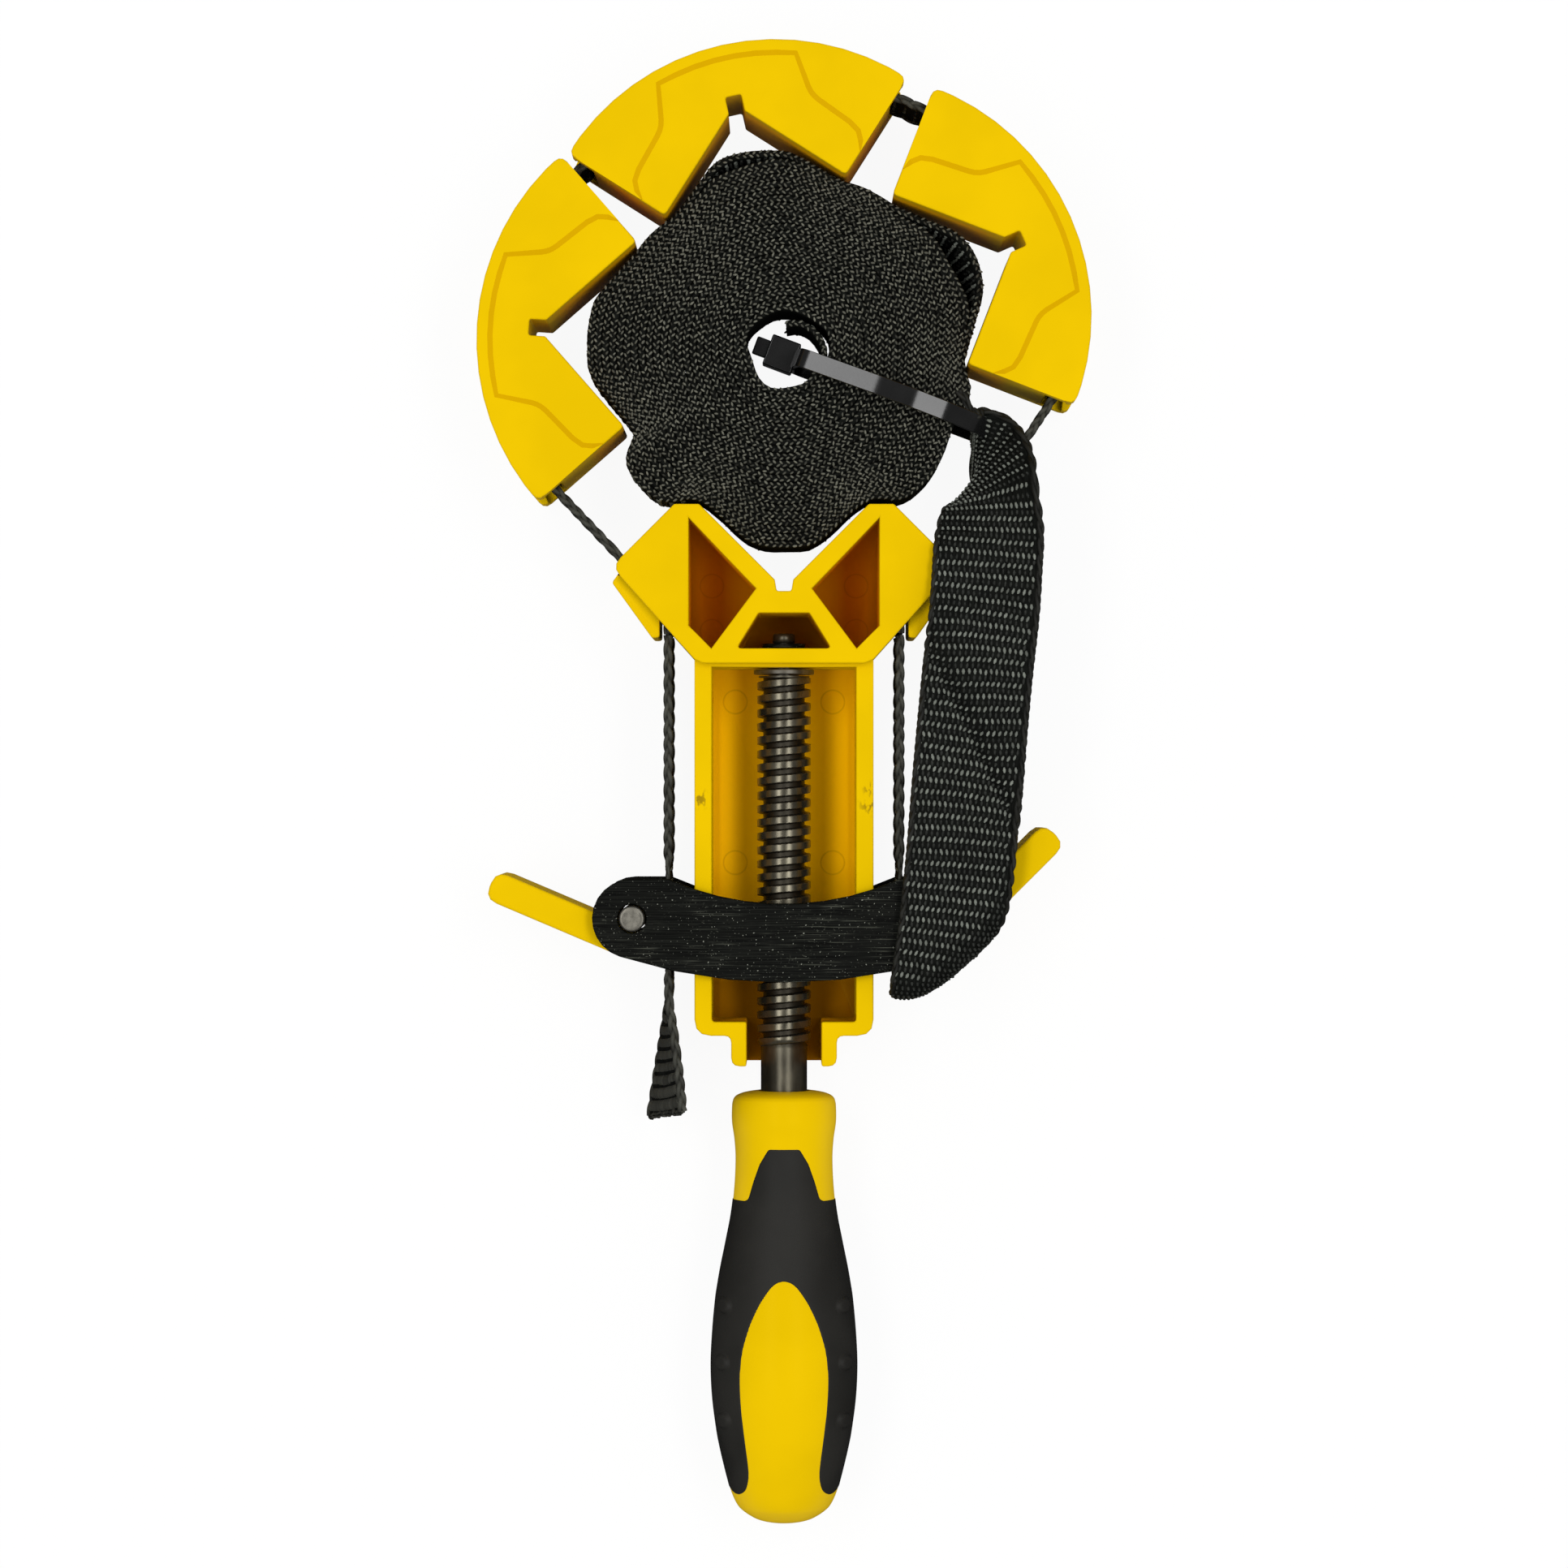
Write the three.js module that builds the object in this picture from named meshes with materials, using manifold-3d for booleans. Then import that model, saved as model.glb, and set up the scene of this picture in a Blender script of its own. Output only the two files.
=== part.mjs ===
// Band clamp with three corner jaws, a screw carriage and two cam levers.
// Millimetres, +Z up. It lies on its back: the screw runs along Y, the jaws are at +Y
// and the handle is at -Y. The bench is Z = 0.
import * as THREE from 'three';
import { mergeVertices } from 'three/addons/utils/BufferGeometryUtils.js';
import ManifoldModule from 'manifold-3d';

const wasm = await ManifoldModule();
wasm.setup();

// Driving dimensions: fits
const FIT_GAP = 0.3;
const RUNNING_GAP = 0.5;
const BAND_SLOT_GAP = 0.5;
const CUT_OVERRUN = 1;
const EDGE_RADIUS = 0.8;
const ROOT_RADIUS = 0.6;

// Driving dimensions: webbing band
const BAND_WIDTH = 25;
const BAND_THICKNESS = 1.2;

// Driving dimensions: moulded body
const BODY_DEPTH = 34;
const FACE_STEP = 3;
const WAIST_RISE = 0.9;
const WAIST_FILLET = 2;
const NOSE_TIP_Y = 64;
const NOSE_BASE_Y = 27.6;
const ARM_INNER_X = 19.4;
const ARM_TIP_WIDTH = 5.7;
const SHOULDER_REACH = 12.8;
const SHOULDER_RADIUS = 3;
const KEEPER_LIP = 2.4;
const KEEPER_END_Y = 33.5;
const KEEPER_STANDOFF = 0.8;
const KEEPER_FOOT = 1.8;
const KEEPER_SHOULDER = 3.6;
const KEEPER_ROOT = 6;
const BAND_ENTRY_INSET = 2.1;
const BAND_ENTRY_SLOPE = 1.06;
const BAND_TURN_RADIUS = 5;
const BAND_EXIT_RISE = 0.9;
const SLOT_RUNOUT = 8;
const SLOT_TAIL = 6;
const NOTCH_WIDTH = 4.2;
const NOTCH_DEPTH = 2.6;
const NOTCH_TAPER = 0.8;
const POCKET_WALL = 4;
const POCKET_SIDE_X = 21.8;
const POCKET_BEVEL = 5.2;
const POCKET_HEEL = 0.6;
const POCKET_PEAK = 5.6;
const WINDOW_HALF_BASE = 10.8;
const WINDOW_HALF_TOP = 5.8;
const WINDOW_HEIGHT = 8.1;
const SCREW_WALL = 4.2;
const TROUGH_WIDTH = 41;
const TROUGH_WALL = 4;
const TROUGH_LENGTH = 81.3;
const TROUGH_END_WALL = 3.2;
const TROUGH_RECESS = 0.8;
const TROUGH_CORNER = 4;
const NECK_WIDTH = 24.2;
const NECK_WALL = 3.5;
const NECK_LENGTH = 7;
const NECK_CORNER = 2;
const NECK_FILLET = 1.6;
const FLOOR = 3;

// Driving dimensions: screw
const THREAD_RADIUS = 6.2;
const THREAD_DEPTH = 1.4;
const THREAD_PITCH = 3.175;
const THREAD_STEPS = 12;
const THREAD_SHARES = [0, 0.36, 0.52, 0.84];
const THREAD_RUNOUT = 0.2;
const CORE_SHARE = 0.8;
const SHANK_RADIUS = 5.35;
const JOURNAL_RADIUS = 3.5;
const TIP_RADIUS = 2.6;
const TIP_LENGTH = 2.2;
const TIP_CHAMFER = 0.5;
const GROOVE_RADIUS = 2;
const RING_RADIUS = 5;
const RING_THICKNESS = 1;
const RING_MOUTH_DEG = 38;
const WASHER_RADIUS = 7;
const WASHER_THICKNESS = 1.2;

// Driving dimensions: handle
const HANDLE_STANDOFF = 5.8;
const HANDLE_LENGTH = 99.7;
const HANDLE_RADIUS = 16.8;
const COLLAR_RADIUS = 12.2;
const WAIST_RADIUS = 11.3;
const SOCKET_DEPTH = 44;
const GRIP_THICKNESS = 1.9;
const GRIP_TONGUE = 13;
const TONGUE_HALF_WIDTH = 3.2;
const TONGUE_RADIUS = 1;
const SHOULDER_SHARE = 0.72;
const GRIP_SHOULDER_RADIUS = 2;
const COLLAR_LENGTH = 24.5;
const WINDOW_START = 43.5;
const WINDOW_HALF_WIDTH = 9.8;
const WINDOW_RISE = 18.5;
const WINDOW_FOOT_SHARE = 0.72;
const WINDOW_STEPS = 12;
const STRIP_END = 92;

// Driving dimensions: carriage and levers
const CARRIAGE_Y = -36.4;
const PLATE_THICKNESS = 2.5;
const PLATE_HEIGHT = 18;
const PLATE_END_RADIUS = 9.1;
const PLATE_TOP_RADIUS = 64;
const PIN_RISE = 5.6;
const PIN_RADIUS = 3;
const PIN_CHAMFER = 0.4;
const CAM_RADIUS = 7.3;
const CAM_HEEL = 9.1;
const CAM_TOE = 5.6;
const CAM_TOE_DEG = 120;
const CAM_BACK_DEG = [150, 178];
const CAM_STEPS = 21;
const LEVER_NECK = 2.6;
const LEVER_CORNER = 3;
const LEVER_REACH = 33;
const LEVER_BAR = 7;
const LEVER_WIDTH = 25;
const LEVER_CLOSED_DEG = 23;
const RIGHT_LEVER_OPEN_DEG = 22;
const NUT_BAR_HEIGHT = 14;
const NUT_BAR_DEPTH = 12;
const NUT_BOSS_WIDTH = 20;
const NUT_BOSS_DEPTH = 20;
const ANVIL_THICKNESS = 4.4;
const ANVIL_CLEARANCE = 0.8;
const ANVIL_HEIGHT = 16;
const ANVIL_DROP = 2.8;
const HOLD_RISE = 1;
const HOLD_INSET = 2;
const CARRIAGE_UP = 47.7;
const CARRIAGE_DOWN = 9.6;

// Driving dimensions: corner jaws
const JAW_DEPTH = 34;
const JAW_FACE = 30;
const JAW_RADIUS = 55.8;
const JAW_ARC_OFFSET = 41.9;
const JAW_CORNER_RADIUS = 3;
const JAW_TIP_RADIUS = 1;
const JAW_NOTCH = 3.7;
const JAW_NOTCH_DEPTH = 2;
const JAW_RIM = 2.5;
const JAW_STEP = 0.4;
const JAW_STEP_SHARES = [[1, 0.5], [0.437, 0.953], [0.047, 0.603]];
const JAW_STEP_RADIUS = 6;
const JAW_STEP_HALF_DEG = 18.1;
const RIM_INSET_DEG = 5;
const BAND_INSET = 5;
const BAND_LIP = 4;
const MOUTH_FLARE = 1.2;
const MOUTH_LENGTH_DEG = 3.5;
const MOUTH_OVERRUN_DEG = 2;
const OPENING_OVERRUN_DEG = 8;
const LEFT_JAW_X = -56.3;
const LEFT_JAW_Y = 104.3;
const LEFT_JAW_DEG = -3.8;
const TOP_JAW_X = -11.2;
const TOP_JAW_Y = 155.3;
const TOP_JAW_DEG = -77.35;
const RIGHT_JAW_X = 52.8;
const RIGHT_JAW_Y = 124;
const RIGHT_JAW_DEG = -156.1;

// Driving dimensions: rolled spare band and its tie
const COIL_X = -0.6;
const COIL_Y = 99.7;
const COIL_HOLE_RADIUS = 8.9;
const COIL_RADIUS = 45.9;
const COIL_LOOPS = 22;
const COIL_STEPS = 30;
const COIL_BAND_THICKNESS = 0.8;
const COIL_CLEARANCE = 0.6;
const COIL_END_DEG = -12;
const DENT_WIDTH_DEG = 9;
const DENT_POWER = 1.5;
const TAIL_STEPS = 44;
const LEFT_END_STEPS = 10;
const TIE_WIDTH = 4.8;
const TIE_THICKNESS = 1.2;
const TIE_ANGLE_DEG = -20.6;
const TIE_REACH = 52.2;
const TIE_SLACK = 2;
const TIE_HEAD_LENGTH = 8;
const TIE_HEAD_WIDTH = 7;
const TIE_HEAD_HEIGHT = 6;
const TIE_INNER_BEND = 2;
const TIE_OUTER_BEND = 3;

// Fineness of curves and welds
const ARC_STEP_DEG = 6;
const WIDE_STEP_DEG = 15;
const CORNER_STEPS = 3;
const CORNER_SHARE = 0.45;
const ROUND_SEGMENTS = 24;
const WELD = 1e-4;
const THREAD_WELD = 1e-5;

const MID_Z = BODY_DEPTH / 2;
const BAND_LOW_Z = MID_Z - BAND_WIDTH / 2;
const HALF_BAND = BAND_THICKNESS / 2;
const TROUGH_LOW_Z = FACE_STEP;
const TROUGH_HIGH_Z = BODY_DEPTH - FACE_STEP;
const TROUGH_TOP_Y = NOSE_BASE_Y - TROUGH_RECESS;
const TROUGH_END_Y = TROUGH_TOP_Y - TROUGH_LENGTH;
const NECK_END_Y = TROUGH_END_Y - TROUGH_END_WALL - NECK_LENGTH;
const HANDLE_TOP_Y = NECK_END_Y - HANDLE_STANDOFF;
const ANVIL_INNER_X = TROUGH_WIDTH / 2 + ANVIL_CLEARANCE;
const ANVIL_OUTER_X = ANVIL_INNER_X + ANVIL_THICKNESS;
const RUN_X = ANVIL_OUTER_X + FIT_GAP + HALF_BAND;
const SHOULDER_X = RUN_X + SHOULDER_REACH;
const PIN_X = RUN_X + HALF_BAND + FIT_GAP + CAM_RADIUS;
const PIN_Y = CARRIAGE_Y + PIN_RISE;
const FRONT_PLATE_Z = TROUGH_HIGH_Z + FIT_GAP;
const REAR_PLATE_Z = TROUGH_LOW_Z - FIT_GAP - PLATE_THICKNESS;
const BAND_RADIUS = JAW_RADIUS - BAND_INSET;
const COIL_CENTRE = [COIL_X, COIL_Y];
const JAW_PLACES = [
  { name: 'left_jaw', vertex: [LEFT_JAW_X, LEFT_JAW_Y], inwardDeg: LEFT_JAW_DEG },
  { name: 'top_jaw', vertex: [TOP_JAW_X, TOP_JAW_Y], inwardDeg: TOP_JAW_DEG },
  { name: 'right_jaw', vertex: [RIGHT_JAW_X, RIGHT_JAW_Y], inwardDeg: RIGHT_JAW_DEG },
];

const YELLOW = { color: 0xeec702, roughness: 0.38, metalness: 0 };
const RUBBER = { color: 0x2b2b27, roughness: 0.75, metalness: 0 };
const WEBBING = { color: 0x232321, roughness: 0.9, metalness: 0 };
const BLACK_STEEL = { color: 0x26261f, roughness: 0.45, metalness: 0.8 };
const OILED_STEEL = { color: 0x3a342e, roughness: 0.35, metalness: 0.9 };
const PLAIN_STEEL = { color: 0x77746c, roughness: 0.4, metalness: 0.9 };
const TIE_NYLON = { color: 0x0d0d0d, roughness: 0.25, metalness: 0 };

const rad = THREE.MathUtils.degToRad;
const polar = (angle, radius, centre = [0, 0]) => [
  centre[0] + radius * Math.cos(angle),
  centre[1] + radius * Math.sin(angle),
];

// Points along an arc, both ends included.
function arcPoints(centre, radius, from, to, stepDeg = ARC_STEP_DEG) {
  const steps = Math.max(2, Math.ceil(Math.abs(to - from) / rad(stepDeg)));
  const at = (i) => polar(from + ((to - from) * i) / steps, radius, centre);
  return Array.from({ length: steps + 1 }, (_, i) => at(i));
}

// Rounds the corner at b of a path a, b, c with a few chords of an arc.
function roundCorner(a, b, c, radius) {
  const [p, q, r] = [a, b, c].map(([x, y]) => new THREE.Vector2(x, y));
  const back = p.clone().sub(q);
  const ahead = r.clone().sub(q);
  const half = Math.acos(back.clone().normalize().dot(ahead.clone().normalize())) / 2;
  const room = Math.min(back.length(), ahead.length()) * CORNER_SHARE;
  const reach = Math.min(radius / Math.tan(half), room);
  const start = q.clone().addScaledVector(back.normalize(), reach);
  const end = q.clone().addScaledVector(ahead.normalize(), reach);
  const bend = new THREE.QuadraticBezierCurve(start, q, end);
  return bend.getPoints(CORNER_STEPS).map((v) => [v.x, v.y]);
}

// Takes points [x, y] or [x, y, corner radius] and returns the rounded path.
function roundedPath(points, closed = true) {
  return points.flatMap((point, i) => {
    const inside = closed || (i > 0 && i < points.length - 1);
    if (!point[2] || !inside) return [[point[0], point[1]]];
    const before = points[(i + points.length - 1) % points.length];
    const after = points[(i + 1) % points.length];
    return roundCorner(before, point, after, point[2]);
  });
}

const mirrored = (points) => points.map(([x, y, r]) => [-x, y, r]).reverse();
const bothSides = (rightHalf) => [...rightHalf, ...mirrored(rightHalf)];

// A flat outline raised from z = low to z = high.
function prism(points, low, high) {
  const shape = new THREE.Shape(roundedPath(points).map(([x, y]) => new THREE.Vector2(x, y)));
  const geometry = new THREE.ExtrudeGeometry(shape, { depth: high - low, bevelEnabled: false });
  return geometry.translate(0, 0, low);
}

const box = (x0, x1, y0, y1, z0, z1) =>
  new THREE.BoxGeometry(x1 - x0, y1 - y0, z1 - z0)
    .translate((x0 + x1) / 2, (y0 + y1) / 2, (z0 + z1) / 2);

// A solid of revolution about the screw axis from [radius, y] points with rising y.
function turned(profile) {
  const points = profile.map(([radius, y]) => new THREE.Vector2(radius, y));
  return new THREE.LatheGeometry(points, ROUND_SEGMENTS).translate(0, 0, MID_Z);
}

const rod = (radius, y0, y1) => turned([[0, y0], [radius, y0], [radius, y1], [0, y1]]);

// A round bar along Z, with both ends chamfered when asked.
function post(radius, x, y, low, high, chamfer = 0) {
  const profile = [
    [0, low],
    [radius - chamfer, low],
    [radius, low + chamfer],
    [radius, high - chamfer],
    [radius - chamfer, high],
    [0, high],
  ];
  const kept = chamfer > 0 ? profile : [...profile.slice(0, 2), ...profile.slice(-2)];
  const points = kept.map(([r, z]) => new THREE.Vector2(r, z));
  return new THREE.LatheGeometry(points, ROUND_SEGMENTS).rotateX(Math.PI / 2).translate(x, y, 0);
}

// Boolean work
function solid(geometry) {
  const bare = geometry.clone();
  bare.deleteAttribute('normal');
  bare.deleteAttribute('uv');
  const merged = mergeVertices(bare, WELD);
  return new wasm.Manifold(new wasm.Mesh({
    numProp: 3,
    vertProperties: new Float32Array(merged.attributes.position.array),
    triVerts: new Uint32Array(merged.index.array),
  }));
}

function geometryOf(shape) {
  const { vertProperties, triVerts } = shape.getMesh();
  const geometry = new THREE.BufferGeometry();
  geometry.setAttribute('position', new THREE.BufferAttribute(vertProperties, 3));
  geometry.setIndex(new THREE.BufferAttribute(triVerts, 1));
  return geometry;
}

const join = (...pieces) => geometryOf(pieces.map(solid).reduce((a, b) => a.add(b)));
const cut = (base, ...tools) =>
  geometryOf(tools.map(solid).reduce((a, b) => a.subtract(b), solid(base)));
const common = (a, b) => geometryOf(solid(a).intersect(solid(b)));

// A strip of webbing swept through stations. Each station has its centre, the unit
// direction across the width and the unit normal of its face.
function ribbon(stations, width, thickness) {
  const positions = [];
  const index = [];
  for (const { at, across, normal } of stations) {
    for (const [w, t] of [[-1, -1], [1, -1], [1, 1], [-1, 1]]) {
      const corner = at.clone().addScaledVector(across, (w * width) / 2);
      positions.push(...corner.addScaledVector(normal, (t * thickness) / 2).toArray());
    }
  }
  for (let i = 0; i < stations.length - 1; i += 1) {
    for (let k = 0; k < 4; k += 1) {
      const [a, b] = [i * 4 + k, i * 4 + ((k + 1) % 4)];
      index.push(a, b, b + 4, a, b + 4, a + 4);
    }
  }
  const last = (stations.length - 1) * 4;
  index.push(0, 2, 1, 0, 3, 2, last, last + 1, last + 2, last, last + 2, last + 3);
  const geometry = new THREE.BufferGeometry();
  geometry.setAttribute('position', new THREE.Float32BufferAttribute(positions, 3));
  geometry.setIndex(index);
  return geometry;
}

// Stations of a strip that stands on edge along a flat path.
function onEdge(path, z) {
  return path.map(([x, y], i) => {
    const before = path[Math.max(0, i - 1)];
    const after = path[Math.min(path.length - 1, i + 1)];
    const heading = new THREE.Vector2(after[0] - before[0], after[1] - before[1]).normalize();
    return {
      at: new THREE.Vector3(x, y, z),
      across: new THREE.Vector3(0, 0, 1),
      normal: new THREE.Vector3(heading.y, -heading.x, 0),
    };
  });
}

// Stations of a strip through hand-placed knots: centre and direction across the width.
function twisted(knots, steps) {
  const centres = new THREE.CatmullRomCurve3(knots.map(({ at }) => new THREE.Vector3(...at)));
  const sides = new THREE.CatmullRomCurve3(knots.map(({ across }) => new THREE.Vector3(...across)));
  return Array.from({ length: steps + 1 }, (_, i) => {
    const across = sides.getPoint(i / steps).normalize();
    const normal = new THREE.Vector3().crossVectors(centres.getTangent(i / steps), across).normalize();
    return { at: centres.getPoint(i / steps), across, normal };
  });
}

const group = new THREE.Group();

function place(name, geometry, finish, parent = group) {
  const mesh = new THREE.Mesh(geometry, new THREE.MeshStandardMaterial(finish));
  mesh.name = name;
  parent.add(mesh);
  return mesh;
}

// Corner jaw, with the corner of its 90 degree faces at the origin and +X into the work
const jawArcCentre = [JAW_ARC_OFFSET, 0];
const jawCorner = polar(rad(45), JAW_FACE);

// The end face leaves the corner square to the work face and stops at the outer arc.
function jawEndLength() {
  const dx = jawCorner[0] - JAW_ARC_OFFSET;
  const dy = jawCorner[1];
  const along = (dy - dx) * Math.SQRT1_2;
  return -along + Math.sqrt(along ** 2 - (dx ** 2 + dy ** 2 - JAW_RADIUS ** 2));
}

const jawOuterCorner = [
  jawCorner[0] - jawEndLength() * Math.SQRT1_2,
  jawCorner[1] + jawEndLength() * Math.SQRT1_2,
];
const jawHalfAngle = Math.atan2(jawOuterCorner[1], JAW_ARC_OFFSET - jawOuterCorner[0]);

// A ring sector about the jaw's arc centre whose two mouths open out by a flare.
function jawSector(inner, outer, overrun, flare) {
  const straight = jawHalfAngle - rad(MOUTH_LENGTH_DEG);
  const mouth = jawHalfAngle + overrun;
  const side = (radius, open) => [
    polar(Math.PI - mouth, radius + open, jawArcCentre),
    ...arcPoints(jawArcCentre, radius, Math.PI - straight, Math.PI + straight),
    polar(Math.PI + mouth, radius + open, jawArcCentre),
  ];
  return [...side(inner, -flare), ...side(outer, flare).reverse()];
}

function jawGeometry() {
  const notch = JAW_NOTCH / 2;
  const rimStart = Math.PI - jawHalfAngle + rad(RIM_INSET_DEG);
  const upper = [
    [...jawCorner, JAW_TIP_RADIUS],
    [...jawOuterCorner, JAW_CORNER_RADIUS],
  ];
  const rim = arcPoints(jawArcCentre, JAW_RADIUS, rimStart, Math.PI * 2 - rimStart);
  const lower = upper.map(([x, y, r]) => [x, -y, r]).reverse();
  const relief = [
    [notch, -notch, EDGE_RADIUS],
    [-JAW_NOTCH_DEPTH, -notch, ROOT_RADIUS],
    [-JAW_NOTCH_DEPTH, notch, ROOT_RADIUS],
    [notch, notch, EDGE_RADIUS],
  ];
  const block = prism([...upper, ...rim, ...lower, ...relief], 0, JAW_DEPTH);

  const slotInner = BAND_RADIUS - HALF_BAND - FIT_GAP;
  const slotOuter = JAW_RADIUS - JAW_RIM;
  const slotLow = BAND_LOW_Z - BAND_SLOT_GAP;
  const slotHigh = BAND_LOW_Z + BAND_WIDTH + BAND_SLOT_GAP;
  const slot = jawSector(slotInner, slotOuter, rad(MOUTH_OVERRUN_DEG), MOUTH_FLARE);
  const channel = prism(slot, slotLow, slotHigh);
  const open = jawSector(slotOuter - FIT_GAP, JAW_RADIUS + JAW_RIM, rad(OPENING_OVERRUN_DEG), 0);
  const outside = prism(open, slotLow + BAND_LIP, slotHigh - BAND_LIP);

  const stepHalf = JAW_STEP_SHARES.map(([x, y]) => [x * JAW_FACE, y * JAW_FACE, JAW_STEP_RADIUS]);
  const stepReach = rad(JAW_STEP_HALF_DEG);
  const stepOutline = [
    ...stepHalf,
    ...arcPoints(jawArcCentre, slotOuter, Math.PI - stepReach, Math.PI + stepReach),
    ...stepHalf.map(([x, y, r]) => [x, -y, r]).reverse(),
  ];
  const front = prism(stepOutline, JAW_DEPTH - JAW_STEP, JAW_DEPTH + CUT_OVERRUN);
  return cut(block, channel, outside, front);
}

const jawFrames = JAW_PLACES.map(({ name, vertex, inwardDeg }) => {
  const inward = rad(inwardDeg);
  const holder = new THREE.Group();
  holder.position.set(...vertex, 0);
  holder.rotation.z = inward;
  group.add(holder);
  place(name, jawGeometry(), YELLOW, holder);
  const spot = ([x, y]) => [
    vertex[0] + x * Math.cos(inward) - y * Math.sin(inward),
    vertex[1] + x * Math.sin(inward) + y * Math.cos(inward),
  ];
  return {
    outward: inward + Math.PI,
    arcCentre: spot(jawArcCentre),
    corners: [spot(jawCorner), spot([jawCorner[0], -jawCorner[1]])],
  };
});

// Band route through the nose on the left: in at the shoulder, round the keeper, down
const armOuterX = ARM_INNER_X + ARM_TIP_WIDTH;
const shoulderY = NOSE_TIP_Y - (SHOULDER_X - armOuterX);
const waistY = NOSE_BASE_Y + WAIST_RISE;
const entry = [SHOULDER_X - BAND_ENTRY_INSET, shoulderY + BAND_ENTRY_INSET];
const turn = [RUN_X, entry[1] - (entry[0] - RUN_X) * BAND_ENTRY_SLOPE];
const exit = [RUN_X, KEEPER_END_Y + BAND_EXIT_RISE];
const noseRoute = roundedPath([entry, [...turn, BAND_TURN_RADIUS], exit], false);

// Body
const diagonal = new THREE.Vector2(SHOULDER_X - TROUGH_WIDTH / 2, shoulderY - waistY).normalize();

function noseGeometry() {
  const notch = NOTCH_WIDTH / 2;
  const vertexY = NOSE_TIP_Y - ARM_INNER_X;
  const right = [
    [TROUGH_WIDTH / 2 - WAIST_FILLET, NOSE_BASE_Y, WAIST_FILLET],
    [TROUGH_WIDTH / 2, waistY, WAIST_FILLET],
    [SHOULDER_X, shoulderY, SHOULDER_RADIUS],
    [armOuterX, NOSE_TIP_Y, EDGE_RADIUS],
    [ARM_INNER_X, NOSE_TIP_Y, EDGE_RADIUS],
    [notch, vertexY + notch, ROOT_RADIUS],
    [notch * NOTCH_TAPER, vertexY + notch - NOTCH_DEPTH, ROOT_RADIUS],
  ];
  const block = prism(bothSides(right), 0, BODY_DEPTH);

  const lipX = KEEPER_LIP * diagonal.y;
  const lipY = KEEPER_LIP * diagonal.x;
  const keeperX = RUN_X + HALF_BAND + BAND_SLOT_GAP + KEEPER_STANDOFF;
  const keeperFootX = SHOULDER_X - (shoulderY - KEEPER_END_Y - lipY) * (diagonal.x / diagonal.y);
  const keeper = [
    [keeperX, KEEPER_END_Y, EDGE_RADIUS],
    [Math.max(keeperFootX + lipX, keeperX + KEEPER_FOOT), KEEPER_END_Y, EDGE_RADIUS],
    [SHOULDER_X, shoulderY - KEEPER_SHOULDER, EDGE_RADIUS],
    [SHOULDER_X - SHOULDER_RADIUS / 2, shoulderY - SHOULDER_RADIUS / 2],
    [keeperX, shoulderY - KEEPER_ROOT],
  ];
  const low = TROUGH_LOW_Z;
  const high = TROUGH_HIGH_Z;
  return join(block, prism(keeper, low, high), prism(mirrored(keeper), low, high));
}

function troughGeometry() {
  const half = TROUGH_WIDTH / 2;
  const wallY = TROUGH_END_Y - TROUGH_END_WALL;
  const right = [
    [NECK_WIDTH / 2, NECK_END_Y, NECK_CORNER],
    [NECK_WIDTH / 2, wallY, NECK_FILLET],
    [half, wallY, TROUGH_CORNER],
    [half, waistY + CUT_OVERRUN],
  ];
  return prism(bothSides(right), TROUGH_LOW_Z, TROUGH_HIGH_Z);
}

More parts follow.
